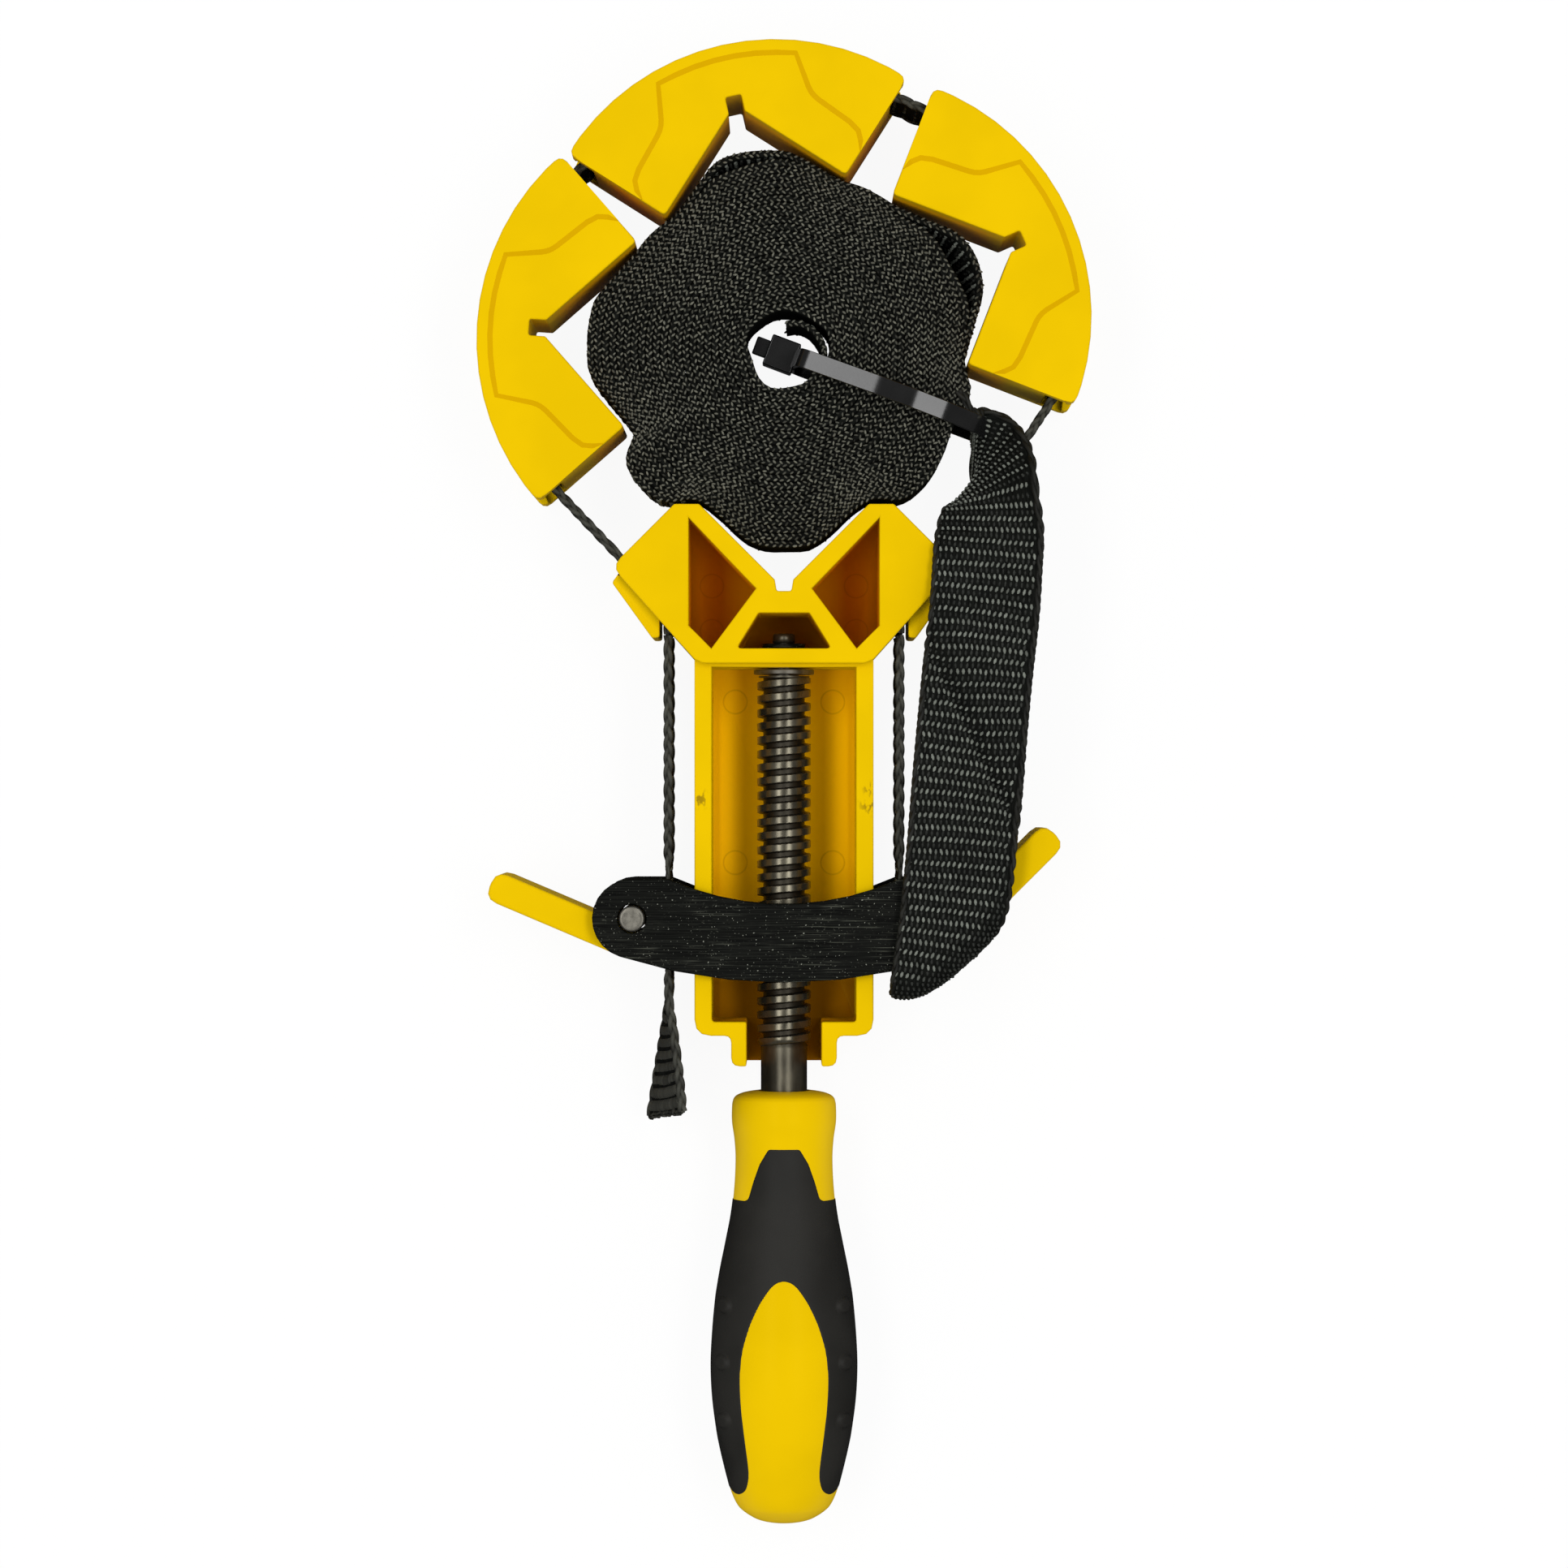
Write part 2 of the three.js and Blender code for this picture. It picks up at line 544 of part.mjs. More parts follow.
function bodyGeometry() {
  const inside = TROUGH_WIDTH / 2 - TROUGH_WALL;
  const neckInside = NECK_WIDTH / 2 - NECK_WALL;
  const hollowRight = [
    [neckInside, NECK_END_Y - CUT_OVERRUN],
    [neckInside, TROUGH_END_Y],
    [inside, TROUGH_END_Y, EDGE_RADIUS],
    [inside, TROUGH_TOP_Y],
  ];
  const floorZ = TROUGH_LOW_Z + FLOOR;
  const hollow = prism(bothSides(hollowRight), floorZ, BODY_DEPTH + CUT_OVERRUN);

  const slotHalf = NUT_BAR_DEPTH / 2 + RUNNING_GAP;
  const slotTop = CARRIAGE_Y + NUT_BAR_HEIGHT / 2 + CARRIAGE_UP + RUNNING_GAP;
  const slotBottom = CARRIAGE_Y - NUT_BAR_HEIGHT / 2 - CARRIAGE_DOWN - RUNNING_GAP;
  const wide = TROUGH_WIDTH / 2 + CUT_OVERRUN;
  const slots = box(-wide, wide, slotBottom, slotTop, MID_Z - slotHalf, MID_Z + slotHalf);

  const windowY = TROUGH_TOP_Y + SCREW_WALL;
  const pocketRight = [
    [POCKET_SIDE_X, NOSE_TIP_Y - POCKET_SIDE_X + ARM_INNER_X - EDGE_RADIUS],
    [POCKET_SIDE_X, windowY + POCKET_BEVEL],
    [POCKET_SIDE_X - POCKET_BEVEL, windowY],
    [WINDOW_HALF_TOP + POCKET_HEEL, windowY + WINDOW_HEIGHT + POCKET_PEAK],
  ];
  const pocketTop = BODY_DEPTH + CUT_OVERRUN;
  const pocket = prism(pocketRight, POCKET_WALL, pocketTop);
  const pocketLeft = prism(mirrored(pocketRight), POCKET_WALL, pocketTop);
  const windowRight = [
    [WINDOW_HALF_BASE, windowY, ROOT_RADIUS],
    [WINDOW_HALF_TOP, windowY + WINDOW_HEIGHT, ROOT_RADIUS],
  ];
  const opening = prism(bothSides(windowRight), POCKET_WALL, pocketTop);
  const bore = rod(JOURNAL_RADIUS + FIT_GAP, TROUGH_TOP_Y - CUT_OVERRUN, windowY + CUT_OVERRUN);

  const route = [
    [entry[0] + SLOT_RUNOUT, entry[1] + SLOT_RUNOUT * BAND_ENTRY_SLOPE],
    ...noseRoute.slice(1, -1),
    [RUN_X, KEEPER_END_Y - SLOT_TAIL],
  ];
  const slotWidth = BAND_WIDTH + 2 * BAND_SLOT_GAP;
  const slotThickness = BAND_THICKNESS + 2 * BAND_SLOT_GAP;
  const rightSlot = ribbon(onEdge(route, MID_Z), slotWidth, slotThickness);
  const leftRoute = route.map(([x, y]) => [-x, y]).reverse();
  const leftSlot = ribbon(onEdge(leftRoute, MID_Z), slotWidth, slotThickness);

  const outer = join(noseGeometry(), troughGeometry());
  return cut(outer, hollow, slots, pocket, pocketLeft, opening, bore, rightSlot, leftSlot);
}

place('clamp_body', bodyGeometry(), YELLOW);

// Screw with its retaining ring and thrust washer
const shoulderEndY = TROUGH_TOP_Y - FIT_GAP - WASHER_THICKNESS - FIT_GAP;
const ringY = TROUGH_TOP_Y + SCREW_WALL + FIT_GAP;
const tipStartY = ringY + RING_THICKNESS + FIT_GAP;
const tipEndY = tipStartY + TIP_LENGTH;
const threadEndY = TROUGH_END_Y - TROUGH_END_WALL - NECK_LENGTH / 2;
const socketEndY = HANDLE_TOP_Y - SOCKET_DEPTH;

// A right-hand thread on its own core, one helical skin closed by a fan at each end.
function threadGeometry(startY, endY) {
  const turns = Math.floor((endY - startY) / THREAD_PITCH) - 1;
  const root = THREAD_RADIUS - THREAD_DEPTH;
  const radii = [root, root, THREAD_RADIUS, THREAD_RADIUS];
  const profile = radii.map((radius, k) => [radius, THREAD_SHARES[k]]);
  const steps = turns * THREAD_STEPS;
  const positions = [];
  for (let i = 0; i <= steps + THREAD_STEPS; i += 1) {
    const angle = (i / THREAD_STEPS) * Math.PI * 2;
    for (const [radius, share] of profile) {
      const y = startY + THREAD_PITCH * (i / THREAD_STEPS + share);
      positions.push(radius * Math.sin(angle), y, MID_Z + radius * Math.cos(angle));
    }
  }
  const index = [];
  const quad = (a, b, c, d) => index.push(a, b, c, a, c, d);
  for (let i = 0; i < steps; i += 1) {
    for (let k = 0; k < 4; k += 1) {
      const next = k < 3 ? k + 1 : THREAD_STEPS * 4;
      quad(i * 4 + k, i * 4 + 4 + k, i * 4 + 4 + next, i * 4 + next);
    }
  }
  const rimOf = (i0) => {
    const spiral = Array.from({ length: THREAD_STEPS + 1 }, (_, i) => (i0 + i) * 4);
    return [...spiral, i0 * 4 + 3, i0 * 4 + 2, i0 * 4 + 1];
  };
  for (const [i0, flip] of [[0, true], [steps, false]]) {
    const rim = rimOf(i0);
    const centre = positions.length / 3;
    positions.push(0, startY + THREAD_PITCH * (i0 / THREAD_STEPS + 1 / 2), MID_Z);
    rim.forEach((a, k) => {
      const b = rim[(k + 1) % rim.length];
      index.push(...(flip ? [centre, b, a] : [centre, a, b]));
    });
  }
  const geometry = new THREE.BufferGeometry();
  geometry.setAttribute('position', new THREE.Float32BufferAttribute(positions, 3));
  geometry.setIndex(index);
  return mergeVertices(geometry, THREAD_WELD);
}

function spindleGeometry() {
  const core = (THREAD_RADIUS - THREAD_DEPTH) * CORE_SHARE;
  const shaft = turned([
    [0, socketEndY + FIT_GAP],
    [SHANK_RADIUS, socketEndY + FIT_GAP],
    [SHANK_RADIUS, threadEndY],
    [core, threadEndY + TIP_CHAMFER],
    [core, shoulderEndY],
    [JOURNAL_RADIUS, shoulderEndY],
    [JOURNAL_RADIUS, ringY],
    [GROOVE_RADIUS, ringY],
    [GROOVE_RADIUS, tipStartY],
    [TIP_RADIUS, tipStartY],
    [TIP_RADIUS, tipEndY - TIP_CHAMFER],
    [TIP_RADIUS - TIP_CHAMFER, tipEndY],
    [0, tipEndY],
  ]);
  return join(shaft, threadGeometry(threadEndY - THREAD_PITCH, shoulderEndY - THREAD_RUNOUT));
}

place('spindle', spindleGeometry(), OILED_STEEL);

function washerGeometry() {
  const inner = JOURNAL_RADIUS + FIT_GAP;
  const low = shoulderEndY + FIT_GAP;
  const high = low + WASHER_THICKNESS;
  return turned([[inner, low], [WASHER_RADIUS, low], [WASHER_RADIUS, high], [inner, high], [inner, low]]);
}

place('thrust_washer', washerGeometry(), PLAIN_STEEL);

// An E-shaped ring whose mouth faces the floor of the window.
function ringGeometry() {
  const mouth = rad(RING_MOUTH_DEG);
  const centre = [0, 0];
  const inner = GROOVE_RADIUS + FIT_GAP;
  const outline = [
    ...arcPoints(centre, RING_RADIUS, mouth, Math.PI * 2 - mouth, WIDE_STEP_DEG),
    ...arcPoints(centre, inner, Math.PI * 2 - mouth, mouth, WIDE_STEP_DEG),
  ];
  const low = ringY + FIT_GAP / 2;
  return prism(outline, 0, RING_THICKNESS)
    .rotateZ(Math.PI / 2)
    .rotateX(-Math.PI / 2)
    .translate(0, low, MID_Z);
}

place('retaining_ring', ringGeometry(), BLACK_STEEL);

// Handle: a hard core with a soft grip let into it
const handleY = (share) => HANDLE_TOP_Y - HANDLE_LENGTH * share;
const handleProfile = [
  [COLLAR_RADIUS - 1.2, 0],
  [COLLAR_RADIUS - 0.2, 0.015],
  [COLLAR_RADIUS, 0.04],
  [COLLAR_RADIUS - 0.7, 0.125],
  [WAIST_RADIUS, 0.22],
  [WAIST_RADIUS + 0.5, 0.315],
  [WAIST_RADIUS + (HANDLE_RADIUS - WAIST_RADIUS) * 0.38, 0.405],
  [WAIST_RADIUS + (HANDLE_RADIUS - WAIST_RADIUS) * 0.68, 0.48],
  [WAIST_RADIUS + (HANDLE_RADIUS - WAIST_RADIUS) * 0.9, 0.565],
  [HANDLE_RADIUS, 0.65],
  [HANDLE_RADIUS * 0.985, 0.74],
  [HANDLE_RADIUS * 0.9, 0.84],
  [HANDLE_RADIUS * 0.765, 0.92],
  [HANDLE_RADIUS * 0.65, 0.955],
  [HANDLE_RADIUS * 0.45, 0.982],
  [HANDLE_RADIUS * 0.22, 0.996],
];

// The handle's outer form, or the same form drawn in by an inset.
function handleForm(inset) {
  const least = GRIP_THICKNESS / 2;
  const side = handleProfile.map(([radius, share]) => [Math.max(radius - inset, least), handleY(share)]);
  const top = HANDLE_TOP_Y + (inset > 0 ? CUT_OVERRUN : 0);
  const end = handleY(1) + inset;
  const kept = side.filter(([, y]) => y > end + FIT_GAP).reverse();
  const lip = top > HANDLE_TOP_Y ? [[kept.at(-1)[0], top]] : [];
  return turned([[0, end], ...kept, ...lip, [0, top]]);
}

// Front outline of the grip, wider or narrower by a margin: a tongue at the top and a
// strip on each side of the oval.
function gripOutline(margin) {
  const wide = HANDLE_RADIUS + CUT_OVERRUN;
  const y = (distance) => HANDLE_TOP_Y - distance;
  return bothSides([
    [wide, y(STRIP_END) - margin],
    [wide, y(COLLAR_LENGTH) + margin],
    [COLLAR_RADIUS * SHOULDER_SHARE, y(COLLAR_LENGTH) + margin, GRIP_SHOULDER_RADIUS],
    [TONGUE_HALF_WIDTH + margin, y(GRIP_TONGUE) + margin, TONGUE_RADIUS],
  ]);
}

function windowOutline(margin) {
  const centreY = HANDLE_TOP_Y - WINDOW_START - WINDOW_RISE;
  const half = WINDOW_HALF_WIDTH - margin;
  const top = Array.from({ length: WINDOW_STEPS + 1 }, (_, i) => {
    const angle = (Math.PI * i) / WINDOW_STEPS;
    return [half * Math.cos(angle), centreY + (WINDOW_RISE - margin) * Math.sin(angle)];
  });
  const footY = HANDLE_TOP_Y - STRIP_END - margin - CUT_OVERRUN;
  const footX = half * WINDOW_FOOT_SHARE;
  return [[footX, footY], ...top, [-footX, footY]];
}

// The space the grip takes, grown by a margin on every side.
function gripSpace(margin) {
  const deep = HANDLE_RADIUS + CUT_OVERRUN;
  const outline = prism(gripOutline(margin), MID_Z - deep, MID_Z + deep);
  const oval = prism(windowOutline(margin), MID_Z - deep, MID_Z + deep);
  return cut(outline, oval, handleForm(GRIP_THICKNESS + margin));
}

const gripGeometry = () => common(handleForm(0), gripSpace(0));

function handleCoreGeometry() {
  const socket = rod(SHANK_RADIUS + FIT_GAP, socketEndY, HANDLE_TOP_Y + CUT_OVERRUN);
  return cut(handleForm(0), gripSpace(FIT_GAP), socket);
}

place('handle_core', handleCoreGeometry(), YELLOW);
place('handle_grip', gripGeometry(), RUBBER);

// Carriage: two arched plates on a threaded bar that reaches out through the side slots
function plateGeometry(low) {
  const high = low + PLATE_THICKNESS;
  const topY = CARRIAGE_Y + PLATE_HEIGHT / 2;
  const bottomY = CARRIAGE_Y - PLATE_HEIGHT / 2;
  const topCentre = [0, topY + PLATE_TOP_RADIUS];
  const flatY = PIN_Y + PLATE_END_RADIUS;
  const topReach = Math.acos((topCentre[1] - flatY) / PLATE_TOP_RADIUS);
  const drop = PIN_Y - bottomY - PLATE_END_RADIUS;
  const bottomCentre = [0, PIN_Y + (PIN_X ** 2 - drop ** 2) / (2 * drop)];
  const bottomRadius = bottomCentre[1] - bottomY;
  const bottomReach = Math.atan2(PIN_X, bottomCentre[1] - PIN_Y);
  const up = Math.PI / 2;
  const down = -up;
  const outline = [
    ...arcPoints(topCentre, PLATE_TOP_RADIUS, down + topReach, down - topReach),
    ...arcPoints([-PIN_X, PIN_Y], PLATE_END_RADIUS, up, 3 * up - bottomReach, WIDE_STEP_DEG),
    ...arcPoints(bottomCentre, bottomRadius, down - bottomReach, down + bottomReach).slice(1, -1),
    ...arcPoints([PIN_X, PIN_Y], PLATE_END_RADIUS, down + bottomReach, up, WIDE_STEP_DEG),
  ];
  const hole = (x) => post(PIN_RADIUS + FIT_GAP, x, PIN_Y, low - CUT_OVERRUN, high + CUT_OVERRUN);
  return cut(prism(outline, low, high), hole(-PIN_X), hole(PIN_X));
}

place('front_plate', plateGeometry(FRONT_PLATE_Z), BLACK_STEEL);
place('rear_plate', plateGeometry(REAR_PLATE_Z), BLACK_STEEL);

function nutBarGeometry() {
  const reach = ANVIL_INNER_X - FIT_GAP;
  const low = CARRIAGE_Y - NUT_BAR_HEIGHT / 2;
  const high = CARRIAGE_Y + NUT_BAR_HEIGHT / 2;
  const bar = box(-reach, reach, low, high, MID_Z - NUT_BAR_DEPTH / 2, MID_Z + NUT_BAR_DEPTH / 2);
  const bossHalf = NUT_BOSS_WIDTH / 2;
  const boss = box(-bossHalf, bossHalf, low, high, MID_Z - NUT_BOSS_DEPTH / 2, MID_Z + NUT_BOSS_DEPTH / 2);
  const bore = rod(THREAD_RADIUS + FIT_GAP, low - CUT_OVERRUN, high + CUT_OVERRUN);
  return cut(join(bar, boss), bore);
}

place('nut_bar', nutBarGeometry(), OILED_STEEL);

for (const [side, sign] of [['left', -1], ['right', 1]]) {
  const [x0, x1] = [sign * ANVIL_INNER_X, sign * ANVIL_OUTER_X].sort((a, b) => a - b);
  const anvilY = PIN_Y - ANVIL_DROP;
  const [y0, y1] = [anvilY - ANVIL_HEIGHT / 2, anvilY + ANVIL_HEIGHT / 2];
  const [z0, z1] = [REAR_PLATE_Z + PLATE_THICKNESS + FIT_GAP, FRONT_PLATE_Z - FIT_GAP];
  place(`${side}_anvil`, box(x0, x1, y0, y1, z0, z1), BLACK_STEEL);
  const pinEnds = [REAR_PLATE_Z, FRONT_PLATE_Z + PLATE_THICKNESS];
  place(`${side}_pin`, post(PIN_RADIUS, sign * PIN_X, PIN_Y, ...pinEnds, PIN_CHAMFER), PLAIN_STEEL);
}

// Cam lever for the left side, pin at the origin and its bar along -X. The cam falls
// from the heel under the bar, past the closed contact, to the toe.
function leverGeometry() {
  const heel = -Math.PI / 2;
  const closed = rad(LEVER_CLOSED_DEG);
  const toe = rad(CAM_TOE_DEG);
  const fall = (angle) => (angle < closed
    ? THREE.MathUtils.mapLinear(angle, heel, closed, CAM_HEEL, CAM_RADIUS)
    : THREE.MathUtils.mapLinear(angle, closed, toe, CAM_RADIUS, CAM_TOE));
  const cam = Array.from({ length: CAM_STEPS + 1 }, (_, i) => heel + ((toe - heel) * i) / CAM_STEPS);
  const outline = [
    [-LEVER_REACH, -CAM_HEEL, LEVER_CORNER],
    ...cam.map((angle) => polar(angle, fall(angle))),
    ...CAM_BACK_DEG.map((angle) => polar(rad(angle), CAM_TOE)),
    [-CAM_TOE - LEVER_NECK, LEVER_BAR - CAM_HEEL, LEVER_CORNER],
    [-LEVER_REACH, LEVER_BAR - CAM_HEEL, LEVER_CORNER],
  ];
  const low = MID_Z - LEVER_WIDTH / 2;
  const blank = prism(outline, low, low + LEVER_WIDTH);
  const ends = [low - CUT_OVERRUN, low + LEVER_WIDTH + CUT_OVERRUN];
  return cut(blank, post(PIN_RADIUS + FIT_GAP, 0, 0, ...ends));
}

function mirrorX(geometry) {
  const flipped = geometry.clone().applyMatrix4(new THREE.Matrix4().makeScale(-1, 1, 1));
  const turnedIndex = Array.from(flipped.index.array);
  for (let i = 0; i < turnedIndex.length; i += 3) {
    [turnedIndex[i], turnedIndex[i + 1]] = [turnedIndex[i + 1], turnedIndex[i]];
  }
  flipped.setIndex(turnedIndex);
  return flipped;
}

const leftLever = place('left_lever', leverGeometry(), YELLOW);
leftLever.position.set(-PIN_X, PIN_Y, 0);
leftLever.rotation.z = -rad(LEVER_CLOSED_DEG);
const rightLever = place('right_lever', mirrorX(leverGeometry()), YELLOW);
rightLever.position.set(PIN_X, PIN_Y, 0);
rightLever.rotation.z = rad(LEVER_CLOSED_DEG + RIGHT_LEVER_OPEN_DEG);

// Band round the jaws, from the left nose exit to the right one
const leftRoute = noseRoute.map(([x, y]) => [-x, y]);
const tangent = (from, to) => Math.atan2(to[1] - from[1], to[0] - from[0]) + Math.PI / 2;

function leaveAngle(centre, point, turnSign) {
  const reach = Math.hypot(point[0] - centre[0], point[1] - centre[1]);
  const facing = Math.atan2(point[1] - centre[1], point[0] - centre[0]);
  return facing + turnSign * Math.acos(BAND_RADIUS / reach);
}

function loopPath() {
  const [left, top, right] = jawFrames;
  const firstTurn = tangent(left.arcCentre, top.arcCentre);
  const secondTurn = tangent(top.arcCentre, right.arcCentre);
  const start = leaveAngle(left.arcCentre, leftRoute[0], -1) + Math.PI * 2;
  const end = right.outward - jawHalfAngle;
  const lastTurn = end - Math.PI * 2 * Math.round((end - secondTurn) / (Math.PI * 2));
  return [
    ...[...leftRoute].reverse(),
    ...arcPoints(left.arcCentre, BAND_RADIUS, start, firstTurn),
    ...arcPoints(top.arcCentre, BAND_RADIUS, firstTurn, secondTurn),
    ...arcPoints(right.arcCentre, BAND_RADIUS, secondTurn, lastTurn),
    ...noseRoute,
  ];
}

place('band_loop', ribbon(onEdge(loopPath(), MID_Z), BAND_WIDTH, BAND_THICKNESS), WEBBING);

// Straight runs from the nose to the carriage, and the band ends held in the cams
const runTopY = exit[1] - FIT_GAP;
const holdTopY = PIN_Y + PLATE_END_RADIUS + HOLD_RISE;
const holdEndY = CARRIAGE_Y - PLATE_HEIGHT / 2 + HOLD_INSET;
const straight = (x, from, to) =>
  ribbon(onEdge([[x, from], [x, to]], MID_Z), BAND_WIDTH, BAND_THICKNESS);

place('band_left_run', straight(-RUN_X, runTopY, holdTopY + FIT_GAP), WEBBING);
place('band_right_run', straight(RUN_X, runTopY, holdTopY + FIT_GAP), WEBBING);
place('band_right_end', straight(RUN_X, holdTopY, holdEndY), WEBBING);

const leftEndKnots = [
  { at: [-RUN_X, holdEndY, MID_Z], across: [0, 0, 1] },
  { at: [-RUN_X, holdEndY - 6, MID_Z], across: [0.02, 0, 1] },
  { at: [-26.7, -56, 17], across: [0.1, 0, 1] },
  { at: [-27.0, -66, 16.4], across: [0.24, 0, 0.97] },
  { at: [-27.4, -77, 15.6], across: [0.36, 0, 0.93] },
];
const leftHold = onEdge([[-RUN_X, holdTopY], [-RUN_X, holdEndY + HOLD_RISE]], MID_Z);
const leftEnd = [...leftHold, ...twisted(leftEndKnots, LEFT_END_STEPS)];
place('band_left_end', ribbon(leftEnd, BAND_WIDTH, BAND_THICKNESS), WEBBING);

// Loose tail from the right cam, turned up over the carriage and back to the roll
const tailKnots = [
  { at: [RUN_X, holdEndY - FIT_GAP, MID_Z], across: [0, 0, -1] },
  { at: [26.9, -45.6, 17.2], across: [0.1, 0.02, -0.99] },
  { at: [29.4, -47.6, 20.0], across: [0.4, 0.1, -0.9] },
  { at: [33.8, -45.6, 28.0], across: [0.72, 0.3, -0.62] },
  { at: [38.0, -41.4, 35.0], across: [0.89, 0.43, -0.12] },
  { at: [40.0, -32.5, 36.8], across: [0.97, 0.2, -0.02] },
  { at: [40.8, -16.0, 36.0], across: [1, 0, 0] },
  { at: [41.2, 4.0, 36.0], across: [1, 0, 0] },
  { at: [43.6, 24.0, 36.0], across: [1, 0, 0] },
  { at: [45.7, 42.0, 36.2], across: [1, 0, 0] },
  { at: [46.5, 52.0, 36.3], across: [1, 0, 0.03] },
  { at: [47.0, 59.0, 35.2], across: [0.95, 0, 0.3] },
  { at: [47.3, 66.5, 33.2], across: [0.76, 0, 0.65] },
  { at: [46.7, 72.0, 27.0], across: [0.5, 0, 0.87] },
  { at: [44.9, 76.4, 18.0], across: [0.12, 0, 0.99] },
  { at: [44.2, 82.5, 14.6], across: [0, 0, 1] },
  { at: [42.2, 87.4, 14.4], across: [0, 0, 1] },
];

// Spare band rolled up inside the jaws: one spiral, drawn in where corners press on it
const noseTips = [ARM_INNER_X, armOuterX].flatMap((x) => [[x, NOSE_TIP_Y], [-x, NOSE_TIP_Y]]);
const pressing = [...jawFrames.flatMap(({ corners }) => corners), ...noseTips].map(([x, y]) => ({
  angle: Math.atan2(y - COIL_CENTRE[1], x - COIL_CENTRE[0]),
  reach: Math.hypot(x - COIL_CENTRE[0], y - COIL_CENTRE[1]),
}));

// How far the roll's outer turn is pressed in, in a direction.
function coilDent(angle) {
  const dents = pressing.map(({ angle: at, reach }) => {
    const turnAway = Math.abs(Math.atan2(Math.sin(angle - at), Math.cos(angle - at)));
    const past = Math.max(0, turnAway - Math.PI / COIL_STEPS);
    const depth = Math.max(0, COIL_RADIUS - reach + COIL_CLEARANCE);
    return depth * Math.exp(-((past / rad(DENT_WIDTH_DEG)) ** 2));
  });
  return Math.max(0, ...dents);
}

const coilLowZ = FIT_GAP + TIE_THICKNESS + FIT_GAP;
const coilMidZ = coilLowZ + BAND_WIDTH / 2;

function coilPath() {
  const steps = COIL_LOOPS * COIL_STEPS;
  const end = rad(COIL_END_DEG);
  const inner = COIL_HOLE_RADIUS + COIL_BAND_THICKNESS / 2;
  const outer = COIL_RADIUS - COIL_BAND_THICKNESS / 2;
  return Array.from({ length: steps + 1 }, (_, i) => {
    const angle = end + ((steps - i) / COIL_STEPS) * Math.PI * 2;
    const share = i / steps;
    const pressed = coilDent(angle) * share ** DENT_POWER;
    return polar(angle, inner + (outer - inner) * share - pressed, COIL_CENTRE);
  });
}

// Least clear distance between one turn of the roll and the next.
function leastCoilGap(path) {
  let least = Infinity;
  for (let i = 0; i + COIL_STEPS / 2 < path.length; i += 1) {
    const last = Math.min(path.length - 1, i + COIL_STEPS * 1.5);
    for (let k = i + COIL_STEPS / 2; k < last; k += 1) {
      const [ax, ay] = path[k];
      const [bx, by] = path[k + 1];
      const length2 = (bx - ax) ** 2 + (by - ay) ** 2;
      const along = ((path[i][0] - ax) * (bx - ax) + (path[i][1] - ay) * (by - ay)) / length2;
      const t = THREE.MathUtils.clamp(along, 0, 1);
      const dx = path[i][0] - ax - t * (bx - ax);
      const dy = path[i][1] - ay - t * (by - ay);
      least = Math.min(least, Math.hypot(dx, dy));
    }
  }
  return least - COIL_BAND_THICKNESS;
}

const roll = coilPath();
console.log(`least gap between turns of the roll: ${leastCoilGap(roll).toFixed(2)} mm`);
place('band_coil', ribbon(onEdge(roll, coilMidZ), BAND_WIDTH, COIL_BAND_THICKNESS), WEBBING);

const [rollX, rollY] = roll.at(-1);
const tailEnd = { at: [rollX, rollY - RUNNING_GAP, coilMidZ], across: [0, 0, 1] };
const tailStations = twisted([...tailKnots, tailEnd], TAIL_STEPS);
place('band_tail', ribbon(tailStations, BAND_WIDTH, BAND_THICKNESS), WEBBING);

// Cable tie round one side of the roll, through its middle
const tieHolder = new THREE.Group();
tieHolder.position.set(...COIL_CENTRE, 0);
tieHolder.rotation.z = rad(TIE_ANGLE_DEG);
group.add(tieHolder);

function tieGeometry() {
  const half = TIE_THICKNESS / 2;
  const low = FIT_GAP + half;
  const high = coilLowZ + BAND_WIDTH + TIE_SLACK + half;
  const inner = TIE_HEAD_LENGTH / 2 - half;
  const headGap = TIE_HEAD_HEIGHT / 2 + FIT_GAP;
  const path = roundedPath([
    [inner, coilMidZ - headGap],
    [inner, low, TIE_INNER_BEND],
    [TIE_REACH, low, TIE_OUTER_BEND],
    [TIE_REACH, high, TIE_OUTER_BEND],
    [inner, high, TIE_INNER_BEND],
    [inner, coilMidZ + headGap],
  ], false);
  const strap = ribbon(onEdge(path, 0), TIE_WIDTH, TIE_THICKNESS);
  return strap.rotateX(Math.PI / 2);
}

place('cable_tie', tieGeometry(), TIE_NYLON, tieHolder);

function tieHeadGeometry() {
  const head = new THREE.BoxGeometry(TIE_HEAD_LENGTH, TIE_HEAD_WIDTH, TIE_HEAD_HEIGHT);
  return head.translate(0, 0, coilMidZ);
}

place('cable_tie_head', tieHeadGeometry(), TIE_NYLON, tieHolder);

export default group;
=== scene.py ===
"""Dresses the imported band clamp: mouldings, screw, handle, carriage, webbing, roll and tie."""
import itertools
import math

import bmesh
import bpy
import numpy as np
from bpy.props import FloatProperty, FloatVectorProperty, IntProperty, PointerProperty
from mathutils import Matrix, Vector


